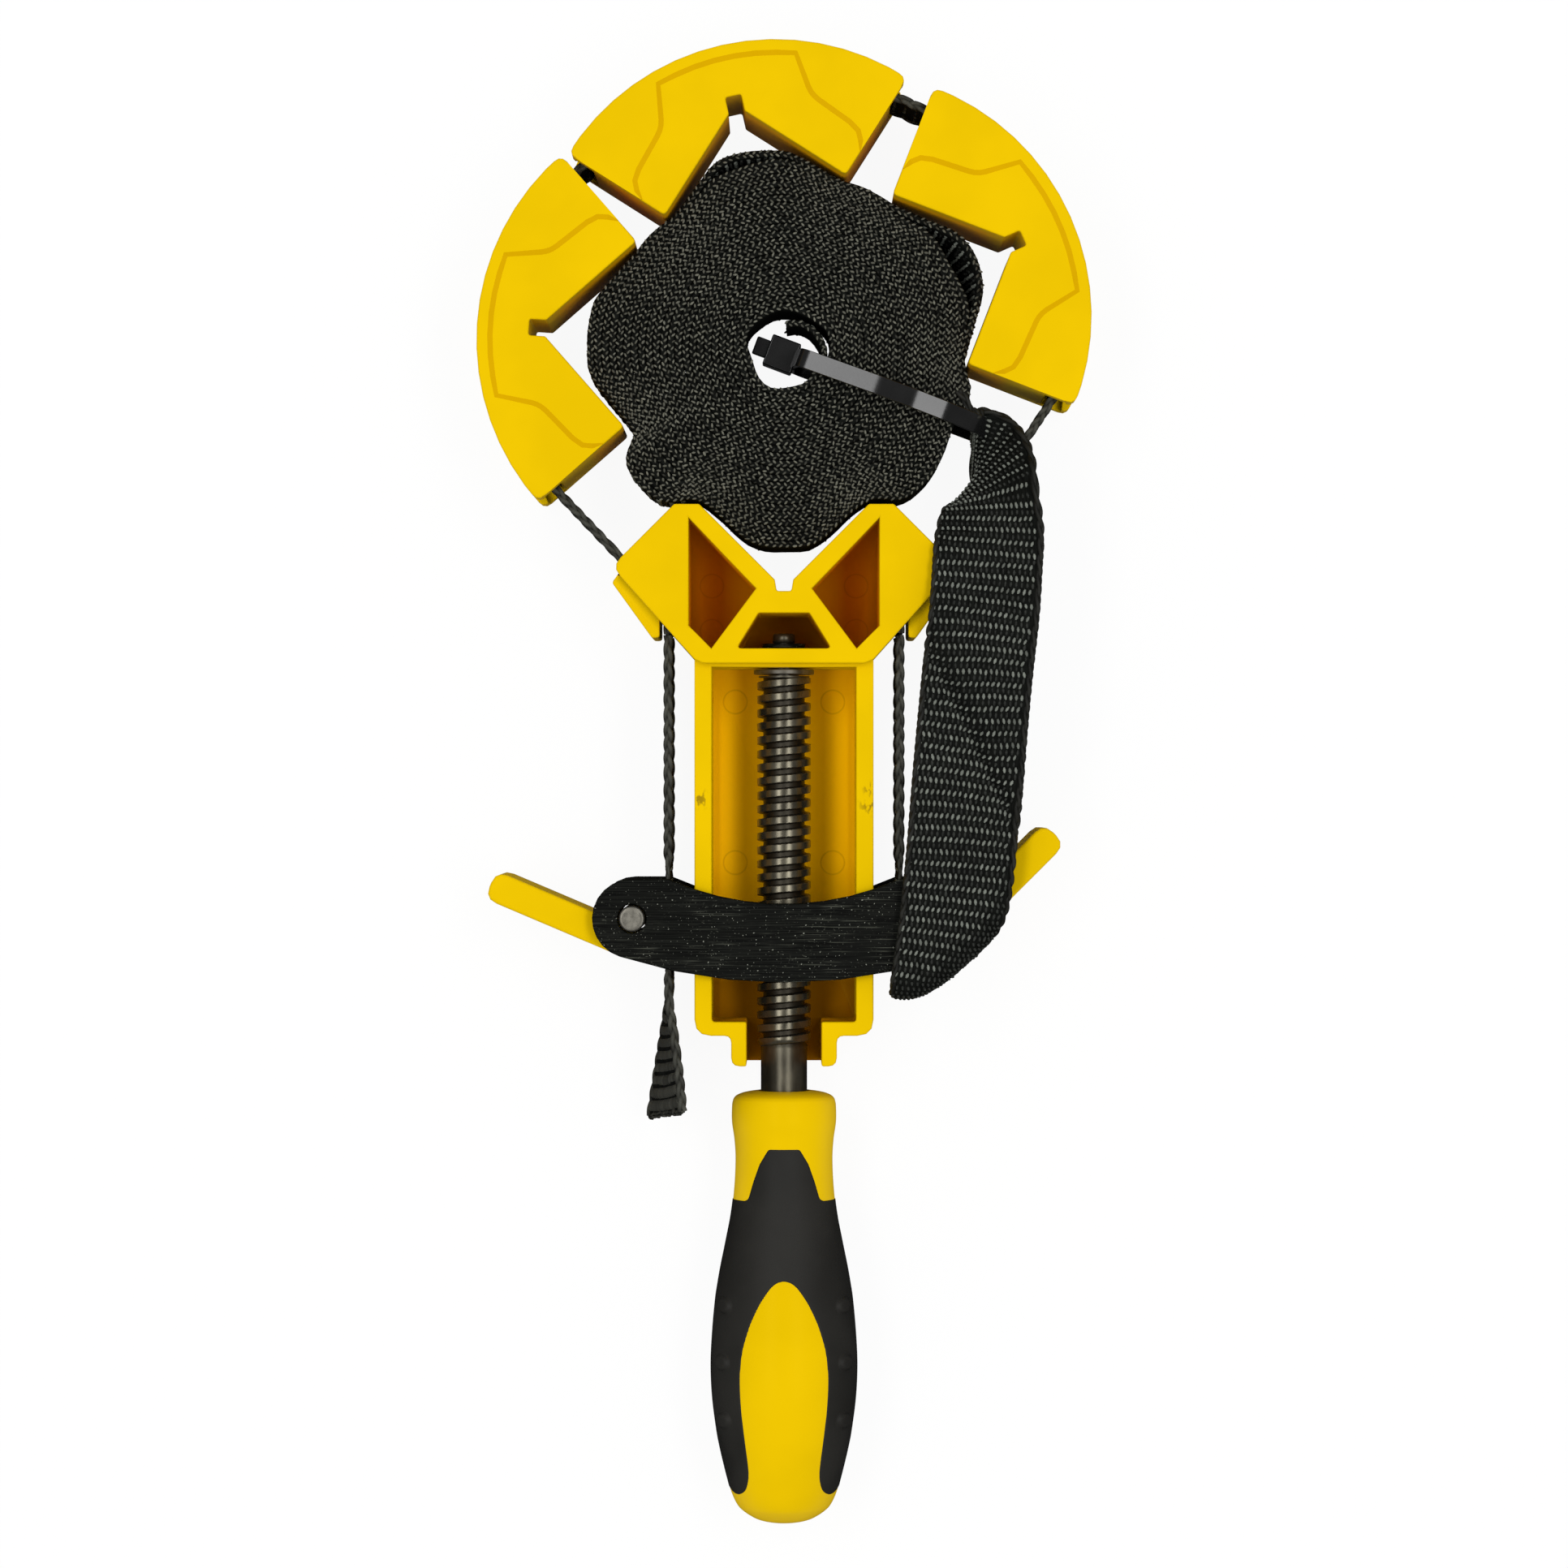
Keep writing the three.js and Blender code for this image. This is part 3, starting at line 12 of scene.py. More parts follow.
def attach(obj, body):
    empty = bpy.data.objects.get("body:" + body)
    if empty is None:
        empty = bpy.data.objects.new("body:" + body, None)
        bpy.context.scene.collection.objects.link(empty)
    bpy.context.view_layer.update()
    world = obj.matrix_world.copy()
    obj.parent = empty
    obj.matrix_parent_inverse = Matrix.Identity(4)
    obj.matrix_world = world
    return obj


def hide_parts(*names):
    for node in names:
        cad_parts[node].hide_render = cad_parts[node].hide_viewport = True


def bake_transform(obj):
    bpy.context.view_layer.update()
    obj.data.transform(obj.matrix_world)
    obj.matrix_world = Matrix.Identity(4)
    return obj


bl_info = {
    "name": "Band clamp",
    "version": (1, 0, 0),
    "blender": (4, 5, 0),
    "location": "3D View > Sidebar > Band clamp",
    "description": "Builds the looks of a webbing band clamp around its packed solids",
    "category": "Object",
}

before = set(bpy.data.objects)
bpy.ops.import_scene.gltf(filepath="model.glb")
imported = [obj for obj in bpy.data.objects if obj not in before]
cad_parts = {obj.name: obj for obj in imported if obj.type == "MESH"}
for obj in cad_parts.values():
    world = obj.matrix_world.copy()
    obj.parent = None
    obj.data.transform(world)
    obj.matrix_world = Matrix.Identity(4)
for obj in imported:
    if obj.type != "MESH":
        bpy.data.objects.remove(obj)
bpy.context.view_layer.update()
MM = 0.001
TURN = math.tau
# Height of the screw's axis and of the band's middle above the bench, in millimetres
MID_Z = 17.0


def linear(*screen):
    """Scene-linear colour of an 8-bit screen colour."""
    shares = [c / 255 for c in screen]
    return tuple(s / 12.92 if s <= 0.04045 else ((s + 0.055) / 1.055) ** 2.4 for s in shares)


# Settings that a user would change


def length(name, description, default):
    return FloatProperty(
        name=name, description=description, default=default * MM, min=0, unit="LENGTH", precision=5
    )


def colour(name, description, *screen):
    return FloatVectorProperty(
        name=name, description=description, default=linear(*screen), size=3, min=0, max=1, subtype="COLOR"
    )


def number(name, description, default):
    return FloatProperty(name=name, description=description, default=default)


def count(name, description, default):
    return IntProperty(name=name, description=description, default=default, min=1)


class ClampMouldings(bpy.types.PropertyGroup):
    yellow: colour("Yellow", "Colour of the moulded plastic", 222, 183, 2)
    # Painted shade: the warmer wall colour stands in for light bounced between the jaws' yellow walls
    wall: colour("Wall", "Warmer colour of the jaws' upright walls", 236, 168, 0)
    # Painted shade: the deeper yellow of the slopes on the jaws' faces stands in for their shading
    step: colour("Step", "Deeper colour of the slope on the jaws' faces", 206, 160, 0)
    # Painted shade: the warmer trough colour stands in for light bounced round the yellow trough
    trough_shade: colour("Hollow", "Warmer colour inside the trough", 255, 188, 0)
    # Painted shade: the deep colour inside the nose's pockets and window stands in for their shade
    pocket_shade: colour("Pocket", "Deep colour inside the nose's pockets", 212, 138, 0)
    scuff: colour("Scuff", "Colour of the rubbed marks on the trough walls", 110, 84, 16)
    body_edge: length("Body edge", "Rounding of the body's edges", 0.45)
    jaw_edge: length("Jaw edge", "Rounding of the jaws' edges", 0.5)
    jaw_slope: length("Jaw slope", "Run of the slope between the two levels of a jaw's face", 1.2)
    lever_edge: length("Lever edge", "Rounding of the levers' edges", 0.7)
    mark_radius: length("Mark radius", "Radius of the round marks left by the mould", 2.75)


class ClampScrew(bpy.types.PropertyGroup):
    steel: colour("Screw steel", "Colour of the oily screw", 112, 107, 92)
    # The darker colour laid into the thread's groove
    groove_tone: colour("Grime", "Colour of the oil in the thread's groove", 52, 48, 40)
    thread_radius: length("Thread radius", "Radius over the crests", 6.2)
    thread_depth: length("Thread depth", "Depth of the groove", 1.4)
    thread_pitch: length("Thread pitch", "Advance of one turn", 3.175)
    shank_radius: length("Shank radius", "Radius of the plain shank", 5.35)


class ClampHandle(bpy.types.PropertyGroup):
    rubber: colour("Rubber", "Colour of the soft grip", 35, 34, 31)
    grip_rise: length("Grip rise", "How far the grip stands out of the handle", 0.14)
    bump_height: length("Bump height", "Height of the finger bumps", 0.9)


class ClampCarriage(bpy.types.PropertyGroup):
    black: colour("Black steel", "Colour of the blackened plates", 19, 20, 17)
    scratch: colour("Scratch", "Colour of the brushing scratches", 84, 86, 76)
    bare: colour("Bare steel", "Colour of the pins and washer", 122, 119, 110)
    plate_edge: length("Plate edge", "Rounding of the plates' edges", 0.4)


class ClampWebbing(bpy.types.PropertyGroup):
    cloth: colour("Cloth", "Colour of the ground weave", 14, 15, 13)
    # Painted sheen: the pale colour of the raised yarns stands in for the shine on their floats
    yarn: colour("Yarn", "Colour of the raised yarns", 114, 118, 110)
    braid: colour("Edge yarn", "Colour of the yarns along the edges", 68, 68, 61)
    width: length("Width", "Width over the edge yarns", 25)
    thickness: length("Thickness", "Thickness of the ground weave", 1.2)
    row_pitch: length("Row pitch", "Distance between rows of raised yarns", 2.65)
    yarn_pitch: length("Yarn pitch", "Distance between yarns in a row", 1.26)
    yarn_length: length("Yarn length", "Length of a raised yarn", 1.6)
    yarn_width: length("Yarn width", "Width of a raised yarn", 0.76)
    yarn_height: length("Yarn height", "Height of a raised yarn's form", 0.72)
    strand_radius: length("Strand radius", "Radius of a strand of the edge plait", 0.56)
    strand_sway: length("Strand sway", "How far a strand of the plait sways to each side", 0.6)
    strand_rise: length("Strand rise", "How far a strand of the plait rises and dips", 0.3)
    strand_period: length("Strand period", "Length in which a strand sways there and back", 11)


class ClampRoll(bpy.types.PropertyGroup):
    turns: count("Turns", "Turns of the rolled band", 22)
    stitch_pitch: length("Stitch pitch", "Distance between edge stitches of one row", 1.56)
    stitch_length: length("Stitch length", "Length of an edge stitch", 1.2)
    stitch_width: length("Stitch width", "Width of an edge stitch", 0.56)
    stitch_colour: colour("Stitch colour", "Colour of the edge stitches", 104, 104, 93)


class ClampTie(bpy.types.PropertyGroup):
    nylon: colour("Nylon", "Colour of the tie", 16, 16, 16)
    width: length("Width", "Width of the strap", 4.3)
    thickness: length("Thickness", "Thickness of the strap", 1.15)


class ClampStage(bpy.types.PropertyGroup):
    camera_height: length("Camera height", "Height of the camera above the bench", 1150)
    lens: number("Lens", "Focal length on a 36 mm sensor", 112.2)
    ambient: number("Ambient", "Strength of the even light", 0.62)
    mirrored: number("Mirrored", "Strength of the even light in reflections", 0.16)
    side_power: FloatProperty(name="Lamps", description="Power of each lamp", default=7.2, unit="POWER")


class ClampSettings(bpy.types.PropertyGroup):
    mouldings: PointerProperty(type=ClampMouldings)
    screw: PointerProperty(type=ClampScrew)
    handle: PointerProperty(type=ClampHandle)
    carriage: PointerProperty(type=ClampCarriage)
    webbing: PointerProperty(type=ClampWebbing)
    roll: PointerProperty(type=ClampRoll)
    tie: PointerProperty(type=ClampTie)
    stage: PointerProperty(type=ClampStage)


# Shader arithmetic


class Signal:
    """A shader socket that takes part in Python arithmetic."""

    def __init__(self, finish, socket):
        self.finish = finish
        self.socket = socket

    def apply(self, operation, first, second=0.0):
        return self.finish.node("ShaderNodeMath", {"operation": operation}, {0: first, 1: second})

    def __add__(self, other):
        return self.apply("ADD", self, other)

    __radd__ = __add__

    def __sub__(self, other):
        return self.apply("SUBTRACT", self, other)

    def __rsub__(self, other):
        return self.apply("SUBTRACT", other, self)

    def __mul__(self, other):
        return self.apply("MULTIPLY", self, other)

    __rmul__ = __mul__

    def size(self):
        return self.apply("ABSOLUTE", self)

    def step(self, low, high):
        """0 below low and 1 above high, with a soft passage."""
        sockets = {"Value": self, "From Min": low, "From Max": high}
        return self.finish.node("ShaderNodeMapRange", {"interpolation_type": "SMOOTHSTEP"}, sockets)

    def above(self, edge, passage):
        """1 from a passage above an edge on, both in millimetres."""
        return self.step(edge * MM, (edge + passage) * MM)

    def below(self, edge, passage):
        """1 up to an edge and 0 from a passage above it on, both in millimetres."""
        return 1 - self.above(edge, passage)


class Finish:
    """A material, its node tree and its surface shader."""

    def __init__(self, name, constants):
        self.material = bpy.data.materials.new(name)
        self.material.use_nodes = True
        self.tree = self.material.node_tree
        self.shader = self.tree.nodes["Principled BSDF"]
        for socket, value in constants.items():
            self.shader.inputs[socket].default_value = value
        self.place = self.node("ShaderNodeTexCoord", out="Object")

    def node(self, kind, settings=None, sockets=None, out=0):
        node = self.tree.nodes.new(kind)
        for key, value in (settings or {}).items():
            setattr(node, key, value)
        for key, value in (sockets or {}).items():
            if isinstance(value, Signal):
                self.tree.links.new(value.socket, node.inputs[key])
            else:
                node.inputs[key].default_value = value
        return Signal(self, node.outputs[out])

    def noise(self, scale, detail=2.0, stretch=None, place=None):
        place = place or self.place
        if stretch:
            place = self.node("ShaderNodeMapping", None, {"Vector": place, "Scale": stretch})
        return self.node("ShaderNodeTexNoise", None, {"Vector": place, "Scale": scale, "Detail": detail})

    def mix(self, factor, first, second):
        first, second = [c if isinstance(c, Signal) else (*c, 1.0) for c in (first, second)]
        return self.node("ShaderNodeMix", {"data_type": "RGBA"}, {0: factor, 6: first, 7: second}, 2)

    def attribute(self, name):
        return self.node("ShaderNodeAttribute", {"attribute_name": name}, out="Fac")

    def axes(self):
        """The three coordinates of the place being shaded."""
        return [self.node("ShaderNodeSeparateXYZ", None, {0: self.place}, k) for k in range(3)]

    def near(self, spot, reach):
        """1 at a spot, falling to 0 at a reach from it."""
        sockets = {0: self.place, 1: spot}
        away = self.node("ShaderNodeVectorMath", {"operation": "DISTANCE"}, sockets, "Value")
        return 1 - away.step(reach * 0.15, reach)

    def ring(self, x, y, spot):
        """How far the place being shaded lies from an upright axis."""
        dx, dy = x - spot[0] * MM, y - spot[1] * MM
        square = dx * dx + dy * dy
        return square.apply("POWER", square, 0.5)

    def feed(self, socket, signal):
        self.tree.links.new(signal.socket, self.shader.inputs[socket])

    def bump(self, height, strength, distance):
        sockets = {"Height": height, "Strength": strength, "Distance": distance}
        self.feed("Normal", self.node("ShaderNodeBump", None, sockets))


def shade(tone, share):
    return tuple(min(1.0, c * share) for c in tone)


def paint_wall_shade(finish, settings, tone):
    """Paints shade on the upright walls of the jaws that face the roll: a warmer colour on them stands in
    for light bounced between the yellow walls.
    """
    x, y, z = finish.axes()
    inner = finish.ring(x, y, (0.0, 104.0)).below(50, 4)
    return finish.mix(inner * z.below(27, 6.2), tone, tuple(settings.wall))


def paint_hollow_shade_and_marks(finish, settings, tone, marks):
    """Paints shade into the body's trough, pockets and window as warmer and deeper colours, darkest at the
    trough's low end, and draws the mould's round marks on its floors.
    """
    x, y, z = finish.axes()
    x = x.size()
    pocket_shade = tuple(settings.pocket_shade)
    trough = x.below(16.4, 0.3) * z.above(5.0, 0.5) * z.below(26, 5.2) * y.below(26.6, 0.3)
    # Painted shade: warmer in the trough for bounced light, and darker at its low end for the plate's
    # shadow
    painted_trough_shade = finish.mix(y.below(-47, 7), tuple(settings.trough_shade), shade(pocket_shade, 0.6))
    low = z.below(18, 15.4)
    inside_pocket = x.below(22.0, 0.2) * (y - x).above(13.6, 0.2)
    inside_pocket = inside_pocket * (y + x * 1.343).above(52.4, 0.2)
    inside_pocket = inside_pocket * (y - x * 1.065).below(37.9, 0.2)
    inside_window = (x + y * 0.617).below(30.1, 0.2) * y.above(30.3, 0.2) * y.below(39.0, 0.2)
    tone = finish.mix(trough, tone, painted_trough_shade)
    # Painted shade: deep colour in the pockets and darker still in the window, stronger lower down
    tone = finish.mix(inside_pocket * low, tone, pocket_shade)
    tone = finish.mix(inside_window * low, tone, shade(pocket_shade, 0.7))
    floors = z.below(6.4, 0.4)
    for spot in marks:
        away = finish.ring(x, y, spot)
        rim = (away - settings.mark_radius).size().below(0.05, 0.25)
        tone = finish.mix(rim * floors * 0.3, tone, shade(pocket_shade, 0.5))
    return tone


def moulded_yellow(name, settings, scuffs=(), marks=(), yellow=None, walls=False):
    """Yellow plastic with a fine moulded grain, a cloudy gloss and rubbed marks, and painted shade that
    makes it warmer on the jaws' walls and in the body's hollows.
    """
    tint = {"Specular Tint": (1.0, 0.72, 0.08, 1.0)}
    finish = Finish(name, {"IOR": 1.49, "Specular IOR Level": 0.07, **tint})
    cloud = finish.noise(45, 3)
    grain = finish.noise(1400, 3)
    yellow = yellow or tuple(settings.yellow)
    tone = finish.mix(cloud.step(0.3, 0.7), shade(yellow, 0.96), shade(yellow, 1.03))
    # Painted shade: warmer on the jaws' inner walls
    if walls:
        tone = paint_wall_shade(finish, settings, tone)
    # Painted shade in the body's trough, pockets and window, with the mould's marks
    if marks:
        tone = paint_hollow_shade_and_marks(finish, settings, tone, marks)
    for spot, reach in scuffs:
        ragged = finish.noise(900, 4, (1.0, 0.5, 1.0)).step(0.5, 0.6)
        tone = finish.mix(finish.near(spot, reach) * ragged * 0.7, tone, tuple(settings.scuff))
    finish.feed("Base Color", tone)
    finish.feed("Roughness", 0.25 + cloud * 0.1 + grain * 0.06)
    finish.bump(grain, 0.25, 0.04 * MM)
    return finish.material


def soft_rubber(settings):
    finish = Finish("grip_rubber", {"IOR": 1.46, "Specular IOR Level": 0.2})
    cloud = finish.noise(60, 3)
    grain = finish.noise(2600, 3)
    rubber = tuple(settings.rubber)
    finish.feed("Base Color", finish.mix(cloud.step(0.3, 0.7), shade(rubber, 0.86), shade(rubber, 1.16)))
    finish.feed("Roughness", 0.46 + cloud * 0.14 + grain * 0.1)
    finish.bump(grain, 0.4, 0.05 * MM)
    return finish.material


def oily_steel(settings):
    """Dark screw steel, darker in the thread's groove and lighter on its crests, with smears and turning
    marks.
    """
    finish = Finish("oily_steel", {"Metallic": 0.85})
    crest = finish.attribute("crest")
    smear = finish.noise(320, 4, (1.0, 0.35, 1.0))
    lines = finish.noise(900, 2, (0.1, 6.0, 0.1))
    steel = tuple(settings.steel)
    worn = finish.mix(smear.step(0.35, 0.65), shade(steel, 0.55), steel)
    # Darker in the thread's groove and lighter on the crests, as the crest attribute says
    finish.feed("Base Color", finish.mix(crest * (0.7 + smear * 0.5), tuple(settings.groove_tone), worn))
    finish.feed("Roughness", 0.16 + smear * 0.22 + (1 - crest) * 0.16)
    finish.bump(lines * 0.6 + smear * 0.8, 0.3, 0.05 * MM)
    return finish.material


def bare_steel(settings):
    finish = Finish("bare_steel", {"Metallic": 0.9})
    smear = finish.noise(500, 4)
    bare = tuple(settings.bare)
    finish.feed("Base Color", finish.mix(smear.step(0.35, 0.7), shade(bare, 0.62), shade(bare, 1.15)))
    finish.feed("Roughness", 0.3 + smear * 0.25)
    finish.bump(smear, 0.25, 0.04 * MM)
    return finish.material


def black_steel(settings):
    """Blackened plate brushed along X, with scratches and pale specks."""
    finish = Finish("black_steel", {"Specular IOR Level": 0.04})
    brush = finish.noise(100, 4, (0.6, 34.0, 8.0))
    scratch = finish.noise(70, 4, (1.0, 46.0, 10.0)).step(0.58, 0.68)
    patch = finish.noise(75, 3)
    fine = finish.noise(2300, 2, (0.55, 1.0, 1.0)).step(0.64, 0.74) * patch.step(0.3, 0.6)
    speck = finish.noise(2100, 1).step(0.7, 0.76)
    black = tuple(settings.black)
    tone = finish.mix(brush.step(0.35, 0.7), shade(black, 0.25), shade(black, 1.4))
    tone = finish.mix(scratch * patch.step(0.35, 0.6) * 0.6, tone, tuple(settings.scratch))
    tone = finish.mix(fine * 0.5, tone, tuple(settings.scratch))
    finish.feed("Base Color", finish.mix(speck * 0.75, tone, linear(150, 152, 140)))
    finish.feed("Roughness", 0.34 + brush * 0.2 + patch * 0.08)
    finish.bump(brush * 0.7 + scratch * 0.5, 0.3, 0.04 * MM)
    return finish.material


def ground_weave(settings):
    """Dark ground of the webbing, ribbed along its own length."""
    finish = Finish("ground_weave", {"Specular IOR Level": 0.05})
    weave = finish.node("ShaderNodeUVMap", {"uv_map": "weave"})
    fibre = finish.noise(1.0, 3, (2400.0, 420.0, 1.0), weave)
    patch = finish.noise(1.0, 2, (300.0, 120.0, 1.0), weave)
    cloth = tuple(settings.cloth)
    tone = finish.mix(fibre.step(0.3, 0.75), shade(cloth, 0.55), shade(cloth, 1.7))
    finish.feed("Base Color", finish.mix(patch.step(0.45, 0.8) * 0.35, tone, shade(cloth, 2.4)))
    finish.feed("Roughness", 0.72 + fibre * 0.2)
    finish.bump(fibre, 0.8, 0.12 * MM)
    return finish.material


def twisted_yarn(name, tone):
    """Shiny twisted yarn; its own shade varies from one yarn to the next, and carries the painted sheen and
    painted shade set on the yarns.
    """
    finish = Finish(name, {"Specular IOR Level": 0.16})
    own = finish.attribute("shade")
    fibre = finish.noise(5200, 3)
    base = finish.mix(own, shade(tone, 0.03), shade(tone, 1.3))
    finish.feed("Base Color", finish.mix(fibre.step(0.35, 0.7) * 0.45, base, shade(tone, 0.3)))
    finish.feed("Roughness", 0.4 + fibre * 0.25)
    finish.bump(fibre, 0.5, 0.05 * MM)
    return finish.material


def tie_nylon(settings):
    finish = Finish("tie_nylon", {"IOR": 1.53})
    cloud = finish.noise(90, 2)
    grain = finish.noise(1800, 2)
    nylon = tuple(settings.nylon)
    finish.feed("Base Color", finish.mix(cloud.step(0.3, 0.7), shade(nylon, 0.7), shade(nylon, 1.5)))
    finish.feed("Roughness", 0.12 + cloud * 0.08 + grain * 0.04)
    finish.bump(grain, 0.12, 0.03 * MM)
    return finish.material


# Mesh helpers


def link(name, mesh):
    piece = bpy.data.objects.new(name, mesh)
    bpy.context.scene.collection.objects.link(piece)
    return piece


def point_attribute(mesh, name, values):
    values = np.asarray(values, np.float32)
    kind, field = ("FLOAT", "value") if values.ndim == 1 else ("FLOAT_VECTOR", "vector")
    mesh.attributes.new(name, kind, "POINT").data.foreach_set(field, values.ravel())


def corner_map(mesh, name, values):
    """Lays out a UV map from one pair of numbers for each vertex."""
    corners = np.empty(len(mesh.loops), np.int32)
    mesh.loops.foreach_get("vertex_index", corners)
    flat = np.asarray(values, np.float32)[corners]
    mesh.uv_layers.new(name=name).data.foreach_set("uv", flat.ravel())


def close_up(mesh, sharp_deg):
    """Turns the faces of a closed skin outwards and shades it smooth between sharp edges."""
    shell = bmesh.new()
    shell.from_mesh(mesh)
    bmesh.ops.recalc_face_normals(shell, faces=shell.faces)
    shell.to_mesh(mesh)
    shell.free()
    mesh.shade_smooth()
    mesh.set_sharp_from_angle(angle=math.radians(sharp_deg))


def bake(piece):
    """Replaces a piece's live modifiers by the mesh that they make."""
    bpy.context.view_layer.update()
    graph = bpy.context.evaluated_depsgraph_get()
    mesh = bpy.data.meshes.new_from_object(piece.evaluated_get(graph))
    raw = piece.data
    piece.modifiers.clear()
    piece.data = mesh
    bpy.data.meshes.remove(raw)
    mesh.name = piece.name
    return piece


def grid_faces(rows, columns, wrap_rows):
    """Quads of a grid that is closed round its columns and, if asked, round its rows."""
    i, j = np.meshgrid(np.arange(rows if wrap_rows else rows - 1), np.arange(columns), indexing="ij")
    up, on = (i + 1) % rows, (j + 1) % columns
    quads = np.stack([i * columns + j, i * columns + on, up * columns + on, up * columns + j], -1)
    return quads.reshape(-1, 4).tolist()


def skin(name, rings, finish, first=None, last=None, sharp_deg=45, wrap=False):
    """A closed skin over rings of points: with a pole or a flat cap at each end, or wrapped round."""
    rings = np.asarray(rings, float)
    rows, columns, _ = rings.shape
    points = rings.reshape(-1, 3).tolist()
    faces = grid_faces(rows, columns, wrap)
    ends = () if wrap else ((first, 0), (last, (rows - 1) * columns))
    for pole, start in ends:
        rim = [start + k for k in range(columns)]
        if pole is None:
            faces.append(rim)
        else:
            points.append(tuple(pole))
            faces += [(rim[k], rim[(k + 1) % columns], len(points) - 1) for k in range(columns)]
    mesh = bpy.data.meshes.new(name)
    mesh.from_pydata(points, [], faces)
    mesh.materials.append(finish)
    close_up(mesh, sharp_deg)
    return link(name, mesh)


def circle(segments):
    angle = np.arange(segments) * TURN / segments
    return np.sin(angle), np.cos(angle)


def about_screw(profile, segments=96):
    """Rings about the screw's axis from rows of radius and Y, in millimetres."""
    x, z = circle(segments)
    return [np.stack([x * r, np.full(segments, y), MID_Z + z * r], -1) * MM for r, y in profile]


def about_post(profile, centre, segments=64):
    """Rings about an upright axis from rows of radius and Z, in millimetres."""
    x, y = circle(segments)
    cx, cy = centre
    return [np.stack([cx + x * r, cy + y * r, np.full(segments, z)], -1) * MM for r, z in profile]


FLAT_DEG = 0.6


def flat_regions(solid):
    """Groups of faces that lie in one plane side by side, as a number for each face."""
    region = {}
    for seed in solid.faces:
        if seed in region:
            continue
        region[seed] = seed.index
        front = [seed]
        while front:
            face = front.pop()
            for edge in face.edges:
                for other in edge.link_faces:
                    if other not in region and edge.calc_face_angle(math.pi) < math.radians(FLAT_DEG):
                        region[other] = seed.index
                        front.append(other)
    return region


def edge_rooms(solid):
    """For every edge the least width of the flat regions beside it, measured square to the edge."""
    region = flat_regions(solid)
    borders = {}
    for edge in solid.edges:
        sides = {region[face] for face in edge.link_faces}
        if len(sides) == 2:
            for side in sides:
                borders.setdefault(side, []).append([v.co[:] for v in edge.verts])
    borders = {side: np.array(ends) for side, ends in borders.items()}
    rooms = {}
    for edge in solid.edges:
        room = math.inf
        for side in edge.link_loops:
            heading = side.link_loop_next.vert.co - side.vert.co
            span = heading.length
            heading.normalize()
            inward = side.face.normal.cross(heading)
            ends = borders.get(region[side.face], np.empty((0, 2, 3))) - np.array(side.vert.co)
            u, v = ends @ np.array(heading), ends @ np.array(inward)
            run = np.where(np.abs(u[:, 1] - u[:, 0]) < 1e-9, 1e-9, u[:, 1] - u[:, 0])
            share = (np.linspace(0.01, 0.99, 9)[:, None] * span - u[:, 0]) / run
            height = v[:, 0] + (v[:, 1] - v[:, 0]) * share
            met = (share >= 0) & (share <= 1) & (height > 1e-6)
            room = min(room, height[met].min(initial=math.inf))
        rooms[edge] = room
    return rooms


def eased_steps(solid, run):
    """Turns low upright steps into slopes: their lower edges move out, and along a wall at an end."""
    low_faces, walls = [], {}
    for face in solid.faces:
        if abs(face.normal.z) < 0.1:
            levels = [v.co.z for v in face.verts]
            if max(levels) - min(levels) < 1 * MM:
                low_faces.append((face, min(levels)))
            else:
                for v in face.verts:
                    walls.setdefault(v, []).append(face.normal.copy())
    ways = {}
    for face, level in low_faces:
        for v in face.verts:
            if v.co.z < level + 0.01 * MM:
                ways.setdefault(v, []).append(face.normal.copy())
    for v, normals in ways.items():
        way = sum(normals[1:], normals[0]).normalized()
        if v in walls:
            along = Vector((-walls[v][0].y, walls[v][0].x, 0))
            way = along / along.dot(way) if abs(along.dot(way)) > 0.4 else way * 0
        v.co += way * run
    # The slopes take the second material, whose deeper yellow is painted shade
    for face, _ in low_faces:
        face.material_index = 1
        for edge in face.edges:
            edge.smooth = False


def softened(node, name, radius, finish, slope=0.0, slope_shade_finish=None):
    """A copy of a solid with its edges rounded, less where a face leaves little room."""
    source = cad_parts[node].data
    mesh = bpy.data.meshes.new(name)
    mesh.from_pydata([v.co[:] for v in source.vertices], [], [p.vertices[:] for p in source.polygons])
    solid = bmesh.new()
    solid.from_mesh(mesh)
    bmesh.ops.remove_doubles(solid, verts=solid.verts, dist=0.002 * MM)
    flat = math.radians(FLAT_DEG)
    bmesh.ops.dissolve_limit(solid, angle_limit=flat, verts=solid.verts, edges=solid.edges)
    solid.faces.index_update()
    if slope:
        eased_steps(solid, slope)
        solid.normal_update()
    weight = solid.edges.layers.float.new("bevel_weight_edge")
    for edge, room in edge_rooms(solid).items():
        if edge.is_convex and edge.calc_face_angle() > math.radians(50):
            edge[weight] = min(1.0, 0.35 * room / radius)
    for face in solid.faces:
        face.smooth = True
    solid.to_mesh(mesh)
    solid.free()
    for part in (finish, slope_shade_finish):
        if part:
            mesh.materials.append(part)
    piece = link(name, mesh)
    rounding = piece.modifiers.new("edges", "BEVEL")
    rounding.limit_method = "WEIGHT"
    rounding.width = radius
    rounding.segments = 3
    rounding.use_clamp_overlap = False
    rounding.loop_slide = False
    normals = piece.modifiers.new("normals", "WEIGHTED_NORMAL")
    normals.keep_sharp = True
    return bake(piece)


def fit(piece, body, slot, *nodes):
    """Puts a finished piece on its body and hides the solids that it stands for. The slot is not used."""
    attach(piece, body)
    if nodes:
        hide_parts(*nodes)


